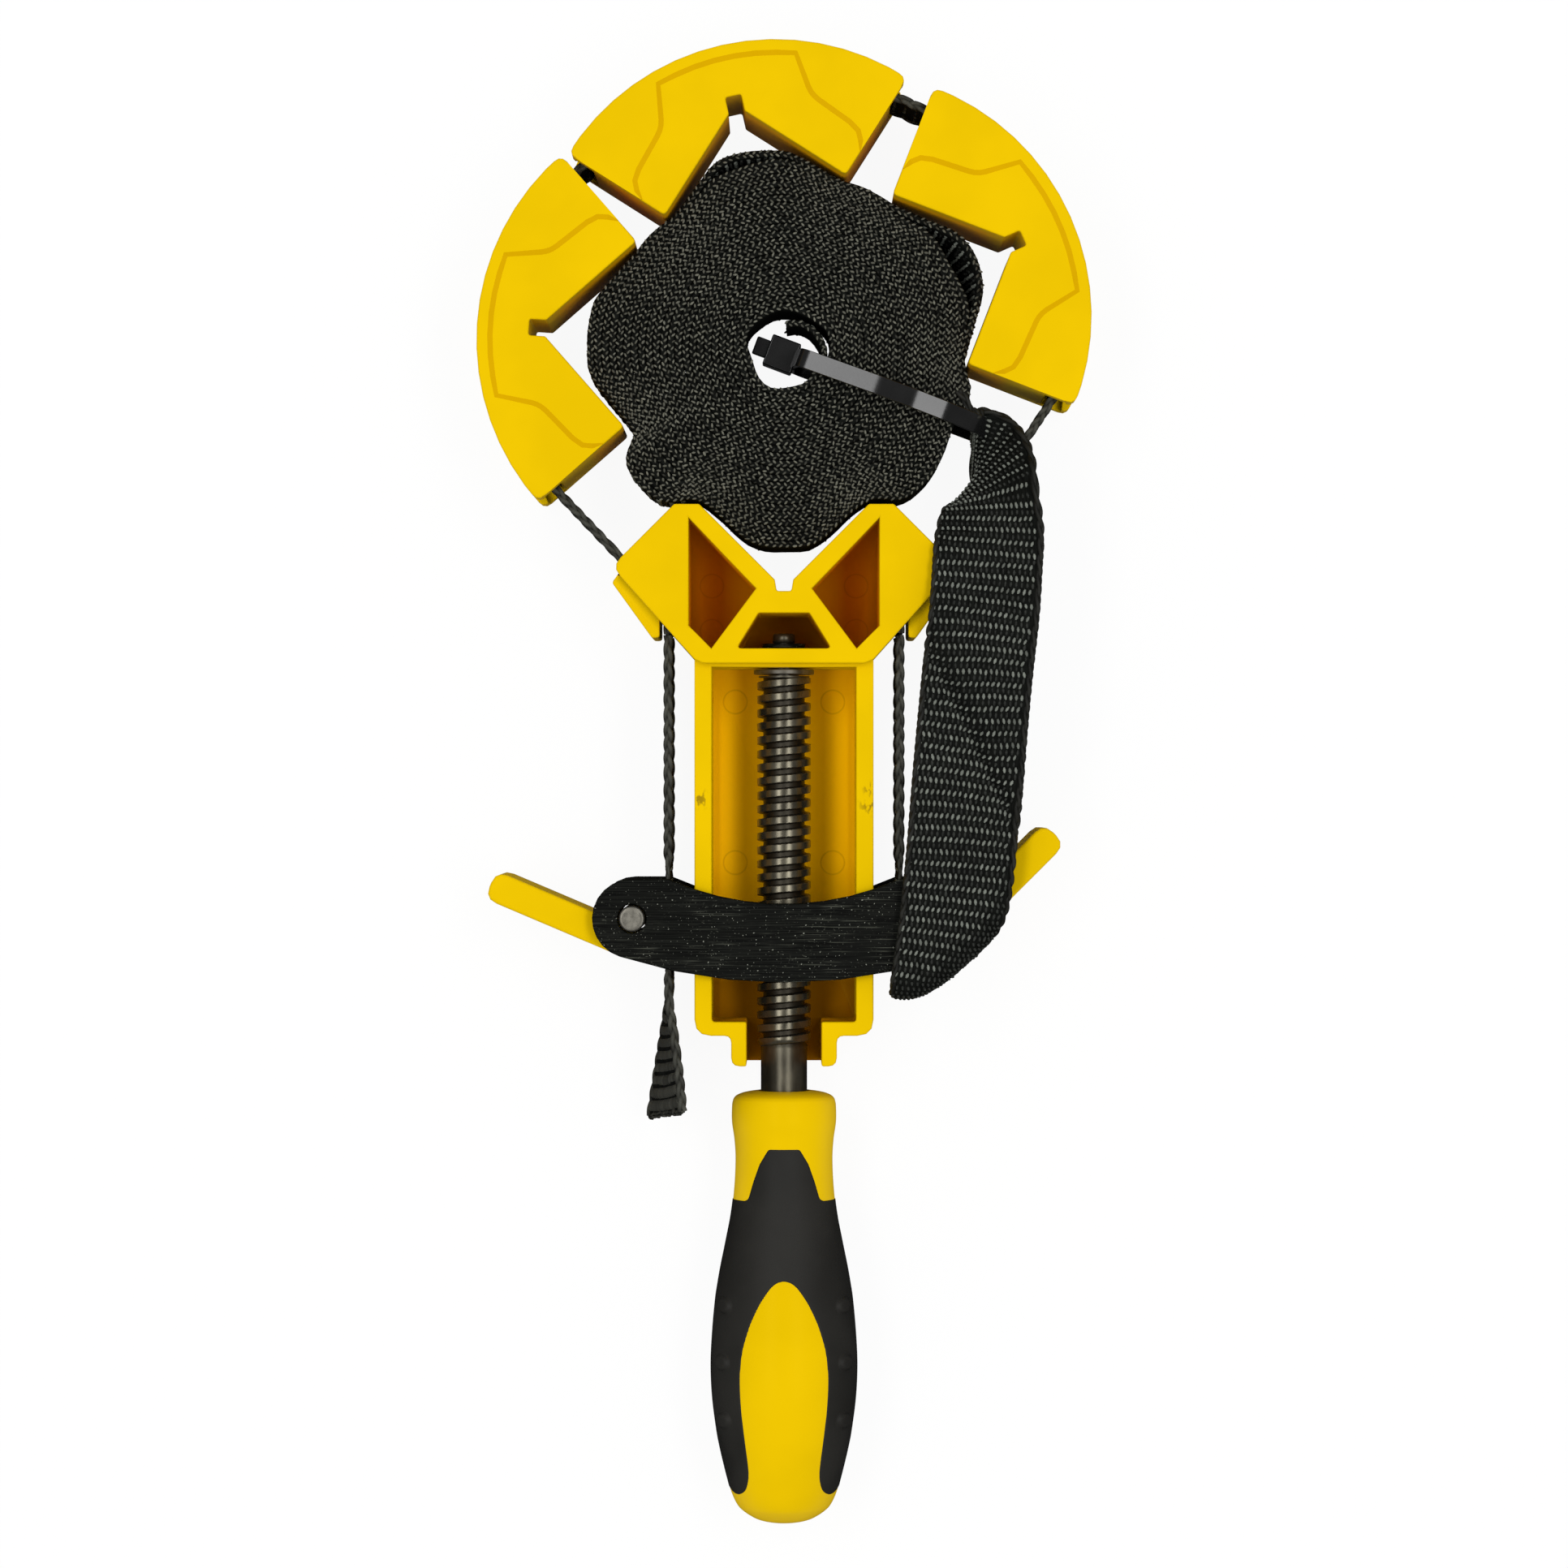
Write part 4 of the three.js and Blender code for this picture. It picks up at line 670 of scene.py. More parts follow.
def rounded(points, steps=8):
    """A path of [x, y] or [x, y, corner radius] points with its corners rounded."""
    path = []
    for i, point in enumerate(points):
        here = np.array(point[:2], float)
        if len(point) == 2 or i in (0, len(points) - 1):
            path.append(here)
            continue
        back = np.array(points[i - 1][:2], float) - here
        ahead = np.array(points[i + 1][:2], float) - here
        room = 0.45 * min(np.linalg.norm(back), np.linalg.norm(ahead))
        back, ahead = back / np.linalg.norm(back), ahead / np.linalg.norm(ahead)
        half = math.acos(np.clip(back @ ahead, -1, 1)) / 2
        reach = min(point[2] / math.tan(half), room)
        for t in np.linspace(0, 1, steps + 1):
            path.append(here + back * reach * (1 - t) ** 2 + ahead * reach * t**2)
    return np.array(path)


def smooth_through(knots, steps):
    """A smooth curve through rows of numbers, with even steps between knots."""
    knots = np.asarray(knots, float)
    ends = np.vstack([2 * knots[0] - knots[1], knots, 2 * knots[-1] - knots[-2]])
    t = np.linspace(0, 1, steps, endpoint=False)[:, None]
    spans = []
    for a, b, c, d in zip(ends, ends[1:], ends[2:], ends[3:]):
        bend = 2 * a - 5 * b + 4 * c - d
        twist = 3 * b - 3 * c + d - a
        spans.append(0.5 * (2 * b + (c - a) * t + bend * t**2 + twist * t**3))
    return np.vstack([*spans, knots[-1:]])


def smooth_step(low, high, values):
    share = np.clip((np.asarray(values) - low) / (high - low), 0, 1)
    return share * share * (3 - 2 * share)


# Webbing


def unit(rows):
    return rows / np.linalg.norm(rows, axis=-1, keepdims=True)


def run_along(points):
    """How far along its path each point lies."""
    return np.concatenate([[0], np.cumsum(np.linalg.norm(np.diff(points, axis=0), axis=1))])


def rows_at(places, run, rows):
    """Rows of numbers, stated along a run, at places on it."""
    return np.stack([np.interp(places, run, rows[:, k]) for k in range(rows.shape[1])], -1)


class Strip:
    """A length of webbing: its middle surface, by distance along it and across it."""

    def __init__(self, centres, across, step, shape=None):
        centres, across = np.asarray(centres, float) * MM, np.asarray(across, float)
        run = run_along(centres)
        self.length = run[-1]
        self.shape = shape
        self.s = np.linspace(0, self.length, max(3, round(self.length / step)))
        self.middle = rows_at(self.s, run, centres)
        along = unit(np.gradient(self.middle, axis=0))
        side = rows_at(self.s, run, across)
        self.across = unit(side - (side * along).sum(-1, keepdims=True) * along)

    def surface(self, s, w):
        s, w = np.broadcast_arrays(s, w)
        point = rows_at(s, self.s, self.middle) + rows_at(s, self.s, self.across) * w[..., None]
        return self.shape(point, s, w) if self.shape else point

    def frames(self, s, w):
        """Points of the surface with the directions along, across and out of its face."""
        near = 0.2 * MM
        along = unit(self.surface(s + near, w) - self.surface(s - near, w))
        out = unit(np.cross(along, self.surface(s, w + near) - self.surface(s, w - near)))
        return self.surface(s, w), along, np.cross(out, along), out


def upright(path, step):
    """A strip that stands on its edge along a flat path, in millimetres."""
    path = np.asarray(path, float)
    centres = np.column_stack([path, np.full(len(path), MID_Z)])
    return Strip(centres, np.tile([0.0, 0.0, 1.0], (len(path), 1)), step)


def ribbon(name, strip, width, thickness, pitch, finish, columns=20, rib=0.08 * MM):
    """The ground weave: a closed ribbed band with round edges that follows a strip."""
    s = strip.s[:, None]
    half = np.broadcast_to(np.reshape(thickness, (-1, 1)) / 2, s.shape)
    flat = np.linspace(-1, 1, columns) * (width / 2 - half)
    bend = np.linspace(-math.pi / 2, math.pi / 2, 5)[1:-1]
    round_edge = half * np.cos(bend)
    w = np.hstack([flat, flat[:, -1:] + round_edge, flat[:, ::-1], flat[:, :1] - round_edge])
    t = np.concatenate([np.full(columns, -1.0), np.sin(bend), np.ones(columns), -np.sin(bend)])
    ridge = np.reshape(rib, (-1, 1)) * np.cos(TURN * s / pitch)
    point, _, _, out = strip.frames(s, w)
    rings = point + out * (t * (half + ridge * (np.abs(t) == 1)))[..., None]
    piece = skin(name, rings, finish, sharp_deg=70)
    corner_map(piece.data, "weave", np.stack(np.broadcast_arrays(w, s), -1).reshape(-1, 2))
    return piece


def tubes(name, runs, shades, finish):
    """Closed tubes over runs of rings as one piece, with a shade for every ring."""
    points, faces, tones = np.empty((0, 3)), [], []
    for rings, tone in zip(runs, shades):
        rows, columns, _ = rings.shape
        start = len(points)
        faces += (np.array(grid_faces(rows, columns, False)) + start).tolist()
        faces += [[end + k for k in range(columns)] for end in (start, start + (rows - 1) * columns)]
        points = np.vstack([points, rings.reshape(-1, 3)])
        tones.append(np.repeat(tone, columns))
    mesh = bpy.data.meshes.new(name)
    mesh.from_pydata(points.tolist(), [], faces)
    mesh.materials.append(finish)
    close_up(mesh, 80)
    point_attribute(mesh, "shade", np.clip(np.concatenate(tones), 0, 1))
    return link(name, mesh)


def tube(centres, upward, radius, sides=6):
    """Rings of a round tube along rows of centres."""
    along = unit(np.gradient(centres, axis=0))
    first = unit(upward - (upward * along).sum(-1, keepdims=True) * along)
    second = np.cross(along, first)
    sine, cosine = circle(sides)
    ring = first[:, None] * cosine[:, None] + second[:, None] * sine[:, None]
    return centres[:, None] + ring * np.reshape(radius, (-1, 1, 1))


def plait(name, strip, spans, settings, finish, random, tone, pressed):
    """Three strands plaited along both edges of a strip, flatter between two pressed distances, and painted
    lighter where a strand rises and darker where it dips.
    """
    runs, shades = [], []
    for edge in (-1, 1):
        for low, high in spans:
            s = np.arange(low, high, 0.5 * MM)
            point, _, across, out = strip.frames(s, np.full(len(s), edge * (settings.width / 2 - 0.7 * MM)))
            wander = np.interp(s, np.linspace(low, high, 12), random.normal(0, 0.35, 12))
            start, end = [smooth_step(place - 2 * MM, place + 2 * MM, s) for place in pressed]
            full = 1 - 0.7 * start * (1 - end)
            for strand in range(3):
                phase = TURN * (s / settings.strand_period + strand / 3) + wander
                lift = np.sin(2 * phase)
                sway = out * (full * settings.strand_sway * np.sin(phase))[:, None]
                rise = across * (edge * settings.strand_rise * lift)[:, None]
                own = np.interp(s, np.linspace(low, high, 40), random.normal(0, 0.25, 40))
                radius = settings.strand_radius * (0.5 + 0.5 * full)
                runs.append(tube(point + sway + rise, across * edge, radius))
                # Painted light and shade: a strand is lighter where it rises and darker where it dips
                shades.append(tone * (1 + 0.7 * lift) + own * tone)
    return tubes(name, runs, shades, finish)


class Spots:
    """Places for yarns, each with its turn, its size and its shade."""

    def __init__(self):
        self.points, self.turns, self.sizes, self.shades = [], [], [], []

    def add(self, points, across, along, out, sizes, shades):
        for x, y, z in zip(across, along, out):
            self.turns.append(tuple(Matrix((x, y, z)).transposed().to_euler()))
        self.points += np.asarray(points).tolist()
        self.sizes += np.broadcast_to(sizes, (len(across), 3)).tolist()
        self.shades += np.clip(np.broadcast_to(shades, len(across)), 0, 1).tolist()


def turned_by(angle, first, second):
    """Two square directions turned by angles in their own plane."""
    c, s = np.cos(angle)[:, None], np.sin(angle)[:, None]
    return first * c + second * s, second * c - first * s


def face_yarns(spots, strip, side, span, settings, random, sunk=0.0, margin=1.3 * MM):
    """Rows of short raised yarns across one face: pale ones that slant to and fro, whose paleness is
    painted sheen, and dark ones between.
    """
    half = settings.width / 2 - margin
    yarns = int(2 * half / settings.yarn_pitch)
    rows = np.arange(span[0] + settings.row_pitch / 4, span[1], settings.row_pitch / 2)
    i, k = [grid.ravel() for grid in np.meshgrid(np.arange(len(rows)), np.arange(yarns), indexing="ij")]
    pale, odd = i % 2 == 0, i // 2 % 2 == 1
    w = -half + settings.yarn_pitch * (k + 0.25 + 0.5 * (odd != pale))
    s = rows[i] + random.normal(0, 0.06, len(i)) * MM
    point, along, across, out = strip.frames(s, w)
    slant = np.where(odd, 0.34, -0.16) * pale + random.normal(0, 0.08, len(i))
    x, y = turned_by(slant, across * side, along)
    rise = np.where(pale, 0.02, -0.12) * MM + settings.thickness / 2 - sunk
    size = random.normal(1, 0.06, (len(i), 3)) * np.where(pale, 1.0, 1.05)[:, None]
    # Painted sheen on the pale yarns, dimmed on the tail's fold where its face turns away from straight up
    sheen = random.normal(0.72, 0.13, len(i))
    if strip.shape:
        turned = 1 - smooth_step(0.86, 0.985, out[:, 2] * side)
        sheen *= 1 - 0.92 * turned * (1 - smooth_step(44, 54, s / MM))
    tone = np.where(pale, sheen, random.normal(0.03, 0.02, len(i)))
    spots.add(point + out * side * rise[:, None], x, y, out * side, size, tone)


YARN_SIDES = 6
YARN_RINGS = 4


YARN_SIZES = ("Width", "Length", "Height")


def yarn_tree():
    """The node tree that puts a plump yarn on every vertex, turned and sized by its attributes."""
    name = "raised_yarn"
    if name in bpy.data.node_groups:
        return bpy.data.node_groups[name]
    tree = bpy.data.node_groups.new(name, "GeometryNodeTree")
    tree.interface.new_socket("Geometry", in_out="INPUT", socket_type="NodeSocketGeometry")
    for label in YARN_SIZES:
        tree.interface.new_socket(label, in_out="INPUT", socket_type="NodeSocketFloat")
    tree.interface.new_socket("Material", in_out="INPUT", socket_type="NodeSocketMaterial")
    tree.interface.new_socket("Geometry", in_out="OUTPUT", socket_type="NodeSocketGeometry")

    def add(kind, settings=None, **links):
        """Adds a node and gives its first output."""
        node = tree.nodes.new(kind)
        for key, value in (settings or {}).items():
            setattr(node, key, value)
        for key, value in links.items():
            socket = node.inputs[key]
            if isinstance(value, bpy.types.NodeSocket):
                tree.links.new(value, socket)
            else:
                socket.default_value = value
        return node.outputs[0] if node.outputs else None

    given = tree.nodes.new("NodeGroupInput").outputs
    ball = add("GeometryNodeMeshUVSphere", None, Segments=YARN_SIDES, Rings=YARN_RINGS, Radius=0.5)
    sizes = add("ShaderNodeCombineXYZ", None, X=given["Width"], Y=given["Length"], Z=given["Height"])
    yarn = add("GeometryNodeTransform", None, Geometry=ball, Scale=sizes)
    vector = {"data_type": "FLOAT_VECTOR"}
    turn = add("GeometryNodeInputNamedAttribute", vector, Name="turn")
    placed = add(
        "GeometryNodeInstanceOnPoints",
        None,
        Points=given["Geometry"],
        Instance=yarn,
        Rotation=add("FunctionNodeEulerToRotation", None, Euler=turn),
        Scale=add("GeometryNodeInputNamedAttribute", vector, Name="size"),
    )
    real = add("GeometryNodeRealizeInstances", None, Geometry=placed)
    smooth = add("GeometryNodeSetShadeSmooth", None, Geometry=real)
    faced = add("GeometryNodeSetMaterial", None, Geometry=smooth, Material=given["Material"])
    add("NodeGroupOutput", None, Geometry=faced)
    return tree


def strewn(name, sizes, spots, finish):
    """A yarn of the given width, length and height on every spot, as a plain mesh."""
    mesh = bpy.data.meshes.new(name)
    mesh.from_pydata(spots.points, [], [])
    point_attribute(mesh, "turn", spots.turns)
    point_attribute(mesh, "size", spots.sizes)
    point_attribute(mesh, "shade", spots.shades)
    piece = link(name, mesh)
    yarns = piece.modifiers.new("yarns", "NODES")
    yarns.node_group = yarn_tree()
    given = {**dict(zip(YARN_SIZES, sizes)), "Material": finish}
    for item in yarns.node_group.interface.items_tree:
        if item.in_out == "INPUT" and item.name in given:
            yarns[item.identifier] = given[item.name]
    return bake(piece)


def raised(name, spots, settings, finish):
    sizes = (settings.yarn_width, settings.yarn_length, settings.yarn_height)
    return strewn(name, sizes, spots, finish)


# Routes of the band, in millimetres

RUN_X = 26.6
RUN_TOP_Y = 34.1
HOLD_END_Y = -43.4
BAND_RADIUS = 50.8
JAW_ARC_OFFSET = 41.9
JAW_HALF_ANGLE = math.radians(45.38)
# Degrees of each jaw's slide at which the roll keeps clear of it
JAW_SLIDES = {"left": (0.0, 2.5, 5.0), "top": (-2.0, -1.0, 0.0), "right": (-1.5, 0.0, 2.5)}
# The corner of each jaw's V and the heading of its opening in degrees
JAW_PLACES = {"left": (-56.3, 104.3, -3.8), "top": (-11.2, 155.3, -77.35), "right": (52.8, 124.0, -156.1)}
NOSE_ROUTE = [(37.3, 51.8), (26.6, 40.458, 5), (26.6, 34.4)]
# Rows of a place on the band's middle and the direction across the band there
LEFT_END_KNOTS = [
    (-26.6, -43.4, 17.0, 0.0, 0.0, 1.0),
    (-26.6, -49.4, 17.0, 0.02, 0.0, 1.0),
    (-26.7, -56.0, 17.1, 0.1, 0.0, 1.0),
    (-26.9, -66.0, 17.9, 0.22, 0.0, 0.97),
    (-27.2, -76.6, 19.2, 0.33, 0.0, 0.93),
]
TAIL_KNOTS = [
    (34.4, -64.0, 36.4, 1.0, -0.11, 0.0),
    (36.5, -48.0, 36.4, 1.0, -0.11, 0.0),
    (38.7, -32.5, 36.4, 1.0, -0.11, 0.0),
    (40.4, -16.0, 36.3, 1.0, -0.1, 0.0),
    (42.1, 4.0, 36.1, 1.0, -0.09, 0.0),
    (43.9, 24.0, 36.0, 1.0, -0.08, 0.0),
    (45.8, 42.0, 36.2, 1.0, 0.0, 0.0),
    (46.5, 52.0, 36.3, 1.0, 0.0, 0.03),
    (47.0, 59.0, 35.2, 0.95, 0.0, 0.3),
    (47.3, 66.5, 33.2, 0.76, 0.0, 0.65),
    (46.7, 72.0, 27.0, 0.5, 0.0, 0.87),
    (44.9, 76.4, 18.0, 0.12, 0.0, 0.99),
    (44.2, 82.5, 14.6, 0.0, 0.0, 1.0),
    (42.2, 87.4, 14.4, 0.0, 0.0, 1.0),
    (40.3, 90.5, 14.3, 0.0, 0.0, 1.0),
]
# The line, in X and Y, that the tail is folded down over
TAIL_FOLD = [
    (18.0, -39.0), (22.0, -41.0), (25.5, -42.6), (28.5, -43.0), (32.9, -40.6), (37.7, -36.6), (42.1, -32.4),
    (45.7, -27.6), (48.8, -21.3), (52.2, -11.5), (58.0, 6.0),
]
TAIL_FOLD_RADIUS = 5.5
TAIL_HELD_LENGTH = 15.0


def folded_tail(point, s, w):
    """The tail's lower end: turned down over a curved fold and back to where the cam holds it."""
    x, y, z = [point[..., k] / MM for k in range(3)]
    s, w = s / MM, w / MM
    crease = w + 0.57 * y - 7.8
    slack = smooth_step(-24, -10, y) * (1 - smooth_step(36, 50, y))
    ridge = 0.6 * np.exp(-(((crease - 5) / 3.0) ** 2))
    z = z + slack * (2.3 * smooth_step(-2.6, 2.6, crease) - 0.6 + ridge)
    y = y - slack * (0.9 * smooth_step(-3, 3, crease) + 0.45 * np.sin(y / 7.5 + w / 6))
    line = smooth_through(TAIL_FOLD, 6)
    low = y < 0
    past, foot, away = beyond(line, x[low], y[low])
    turn = np.clip(past / TAIL_FOLD_RADIUS, 0, math.pi / 2)
    over = past > 0
    drop = TAIL_FOLD_RADIUS * (1 - np.cos(turn)) + np.maximum(past - TAIL_FOLD_RADIUS * math.pi / 2, 0)
    shift = TAIL_FOLD_RADIUS * np.sin(turn)
    x[low] = np.where(over, foot[:, 0] + away[:, 0] * shift, x[low])
    y[low] = np.where(over, foot[:, 1] + away[:, 1] * shift, y[low])
    z[low] -= np.where(over, drop, 0)
    loose = smooth_step(0, TAIL_HELD_LENGTH + 0.5 * w, s)
    x = RUN_X + (x - RUN_X) * loose
    y = HOLD_END_Y - 0.3 - 0.25 * s + (y - HOLD_END_Y + 0.3 + 0.25 * s) * loose
    z = MID_Z - w + (z - MID_Z + w) * loose
    return np.stack([x, y, z], -1) * MM


def beyond(line, x, y):
    """How far points lie to the right of a line, with their nearest point on it and the way there."""
    best = np.full(x.shape, np.inf)
    past, foot, away = np.zeros(x.shape), np.zeros((*x.shape, 2)), np.zeros((*x.shape, 2))
    for a, b in zip(line, line[1:]):
        heading = b - a
        share = np.clip(((x - a[0]) * heading[0] + (y - a[1]) * heading[1]) / (heading @ heading), 0, 1)
        near = a + share[..., None] * heading
        gap = np.stack([x, y], -1) - near
        reach = np.linalg.norm(gap, axis=-1)
        right = gap[..., 0] * heading[1] - gap[..., 1] * heading[0]
        closer = reach < best
        best = np.where(closer, reach, best)
        past = np.where(closer, np.copysign(reach, right), past)
        foot = np.where(closer[..., None], near, foot)
        square = np.array([heading[1], -heading[0]]) / np.linalg.norm(heading)
        way = np.where(reach[..., None] > 1e-6, gap / np.maximum(reach, 1e-6)[..., None], square)
        away = np.where(closer[..., None], way, away)
    return past, foot, away


def jaw_arc(place):
    """Centre of the band's arc round a jaw, and the direction out from it through the jaw's middle."""
    x, y, inward = JAW_PLACES[place]
    heading = math.radians(inward)
    centre = np.array([x, y]) + JAW_ARC_OFFSET * np.array([math.cos(heading), math.sin(heading)])
    return centre, heading + math.pi


def turned(points, angle_deg):
    """Points in a plane, turned about its origin."""
    c, s = math.cos(math.radians(angle_deg)), math.sin(math.radians(angle_deg))
    return np.asarray(points, float) @ np.array([[c, s], [-s, c]])


def arc(centre, start, end, step_deg=0.5):
    angles = np.linspace(start, end, max(2, math.ceil(abs(end - start) / math.radians(step_deg))))
    return centre + BAND_RADIUS * np.stack([np.cos(angles), np.sin(angles)], -1)


def leaving(a, b):
    """Direction out from the centre of one arc at which a taut band leaves it for the next."""
    return math.atan2(b[1] - a[1], b[0] - a[0]) + math.pi / 2


def loop_route():
    """The band's path out of the left of the nose, round the three jaws and into its right."""
    nose = rounded(NOSE_ROUTE)
    left_nose = (nose * [-1, 1])[::-1]
    (left, _), (top, _), (right, right_out) = [jaw_arc(place) for place in ("left", "top", "right")]
    first, second = leaving(left, top), leaving(top, right)
    gap = left_nose[-1] - left
    start = math.atan2(gap[1], gap[0]) - math.acos(BAND_RADIUS / np.linalg.norm(gap)) + TURN
    end = right_out - JAW_HALF_ANGLE
    end -= TURN * round((end - second) / TURN)
    stretches = [left_nose, arc(left, start, first), arc(top, first, second), arc(right, second, end), nose]
    path = np.vstack(stretches)
    return path[np.concatenate([[True], np.linalg.norm(np.diff(path, axis=0), axis=1) > 1e-6])]


def jaw_cover(points):
    """True where a point of the band, in metres, lies well inside one of the jaws."""
    covered = np.zeros(len(points), bool)
    for place in JAW_PLACES:
        centre, outward = jaw_arc(place)
        away = points[:, :2] / MM - centre
        off = np.angle(np.exp(1j * (np.arctan2(away[:, 1], away[:, 0]) - outward)))
        near = np.abs(np.linalg.norm(away, axis=1) - BAND_RADIUS) < 4
        covered |= near & (np.abs(off) < JAW_HALF_ANGLE - math.radians(4))
    return covered


def open_spans(strip, covered):
    """Start and end distances of the stretches that aren't covered."""
    spans = []
    start = None
    for s, hidden in zip(strip.s, covered):
        if not hidden and start is None:
            start = s
        if hidden and start is not None:
            spans.append((start, s))
            start = None
    return spans + ([(start, strip.s[-1])] if start is not None else [])


# Operators


class ClampOperator:
    """What the operators share."""

    bl_options = {"REGISTER", "UNDO"}

    def execute(self, context):
        self.build(context.scene.band_clamp)
        return {"FINISHED"}


class BANDCLAMP_OT_stage(ClampOperator, bpy.types.Operator):
    """Sets up the camera over the clamp, soft lamps and a pale floor"""

    bl_idname = "band_clamp.stage"
    bl_label = "Stage"

    lamp_place = (0.52, 0.12, 1.35)
    lamp_size = (0.34, 1.2)
    floor_half = 3.0
    floor_z = -0.1 * MM

    def build(self, settings):
        stage = settings.stage
        scene = bpy.context.scene
        scene.view_settings.view_transform = "Standard"
        camera = bpy.data.cameras.new("camera")
        camera.lens = stage.lens
        camera.sensor_width = 36
        camera.clip_end = 20
        watcher = link("camera", camera)
        watcher.location = (0, 0, stage.camera_height)
        scene.camera = watcher

        for name, side in (("left_lamp", -1), ("right_lamp", 1)):
            self.lamp(name, side, stage.side_power)
        self.world(scene, stage)
        self.floor()

    def lamp(self, name, side, power):
        """A tall soft lamp to one side that leans towards the clamp."""
        lamp = bpy.data.lights.new(name, "AREA")
        lamp.shape = "RECTANGLE"
        lamp.size, lamp.size_y = self.lamp_size
        lamp.energy = power
        x, y, z = self.lamp_place
        piece = link(name, lamp)
        piece.location = (side * x, y, z)
        piece.rotation_euler = (0, math.atan2(side * x, z), 0)

    def world(self, scene, stage):
        """White to the camera, dimmer as a light and dimmest in reflections."""
        world = bpy.data.worlds.new("world")
        scene.world = world
        world.use_nodes = True
        tree = world.node_tree
        path = tree.nodes.new("ShaderNodeLightPath").outputs
        strength = stage.ambient
        for ray, level in (("Is Glossy Ray", stage.mirrored), ("Is Camera Ray", 1.0)):
            choice = tree.nodes.new("ShaderNodeMix")
            tree.links.new(path[ray], choice.inputs["Factor"])
            if isinstance(strength, float):
                choice.inputs["A"].default_value = strength
            else:
                tree.links.new(strength, choice.inputs["A"])
            choice.inputs["B"].default_value = level
            strength = choice.outputs["Result"]
        background = tree.nodes["Background"]
        background.inputs["Color"].default_value = (1, 1, 1, 1)
        tree.links.new(strength, background.inputs["Strength"])

    def floor(self):
        """White paper that keeps a faint shadow."""
        half, z = self.floor_half, self.floor_z
        corners = [(-half, -half, z), (half, -half, z), (half, half, z), (-half, half, z)]
        mesh = bpy.data.meshes.new("floor")
        mesh.from_pydata(corners, [], [(0, 1, 2, 3)])
        floor = link("floor", mesh)
        finish = Finish("white_paper", {"Base Color": (0.9, 0.9, 0.9, 1), "Roughness": 0.9})
        tree = finish.tree
        path = tree.nodes.new("ShaderNodeLightPath").outputs
        glow = tree.nodes.new("ShaderNodeEmission")
        glow.inputs["Color"].default_value = (1, 1, 1, 1)
        blend = tree.nodes.new("ShaderNodeMixShader")
        seen = Signal(finish, path["Is Camera Ray"]) + Signal(finish, path["Is Transmission Ray"])
        mirrored = Signal(finish, path["Is Glossy Ray"])
        tree.links.new((seen + mirrored * 0.03).socket, glow.inputs["Strength"])
        tree.links.new((seen * 0.93 + mirrored).socket, blend.inputs[0])
        tree.links.new(finish.shader.outputs[0], blend.inputs[1])
        tree.links.new(glow.outputs[0], blend.inputs[2])
        tree.links.new(blend.outputs[0], tree.nodes["Material Output"].inputs["Surface"])
        mesh.materials.append(finish.material)


class BANDCLAMP_OT_body(ClampOperator, bpy.types.Operator):
    """Rounds the moulded body's edges"""

    bl_idname = "band_clamp.body"
    bl_label = "Body"

    marks = [(16.9, 46.4), (16.9, 35.8), (11.4, 19.2), (11.4, -18.4)]
    scuffs = [(-19.4, -3.5, 3.2), (19.7, -4.6, 3.6), (19.5, -1.0, 2.0)]
    scuff_z = 31 * MM

    def build(self, settings):
        mouldings = settings.mouldings
        scuffs = [((x * MM, y * MM, self.scuff_z), reach * MM) for x, y, reach in self.scuffs]
        # With the marks, the body's yellow also gets painted shade in its trough, pockets and window
        yellow = moulded_yellow("body_yellow", mouldings, scuffs, self.marks)
        body = softened("clamp_body", "body_moulding", mouldings.body_edge, yellow)
        fit(body, "frame", "yellow_plastic", "clamp_body")


class BANDCLAMP_OT_jaws(ClampOperator, bpy.types.Operator):
    """Rounds the edges of the three corner jaws"""

    bl_idname = "band_clamp.jaws"
    bl_label = "Corner jaws"

    def build(self, settings):
        mouldings = settings.mouldings
        # walls=True paints shade on the jaws' inner walls
        yellow = moulded_yellow("jaw_yellow", mouldings, walls=True)
        # The deeper yellow on the slopes between a jaw's two levels is painted shade
        step = moulded_yellow("jaw_step_painted_shade", mouldings, yellow=tuple(mouldings.step))
        for place in JAW_PLACES:
            name = f"{place}_jaw_moulding"
            jaw = softened(f"{place}_jaw", name, mouldings.jaw_edge, yellow, mouldings.jaw_slope, step)
            fit(jaw, f"jaw_{place}", "yellow_plastic", f"{place}_jaw")


class BANDCLAMP_OT_levers(ClampOperator, bpy.types.Operator):
    """Rounds the edges of the two cam levers"""

    bl_idname = "band_clamp.levers"
    bl_label = "Cam levers"

    def build(self, settings):
        mouldings = settings.mouldings
        yellow = moulded_yellow("lever_yellow", mouldings)
        for side in ("left", "right"):
            lever = softened(f"{side}_lever", f"{side}_lever_moulding", mouldings.lever_edge, yellow)
            fit(lever, f"{side}_cam", "yellow_plastic", f"{side}_lever")


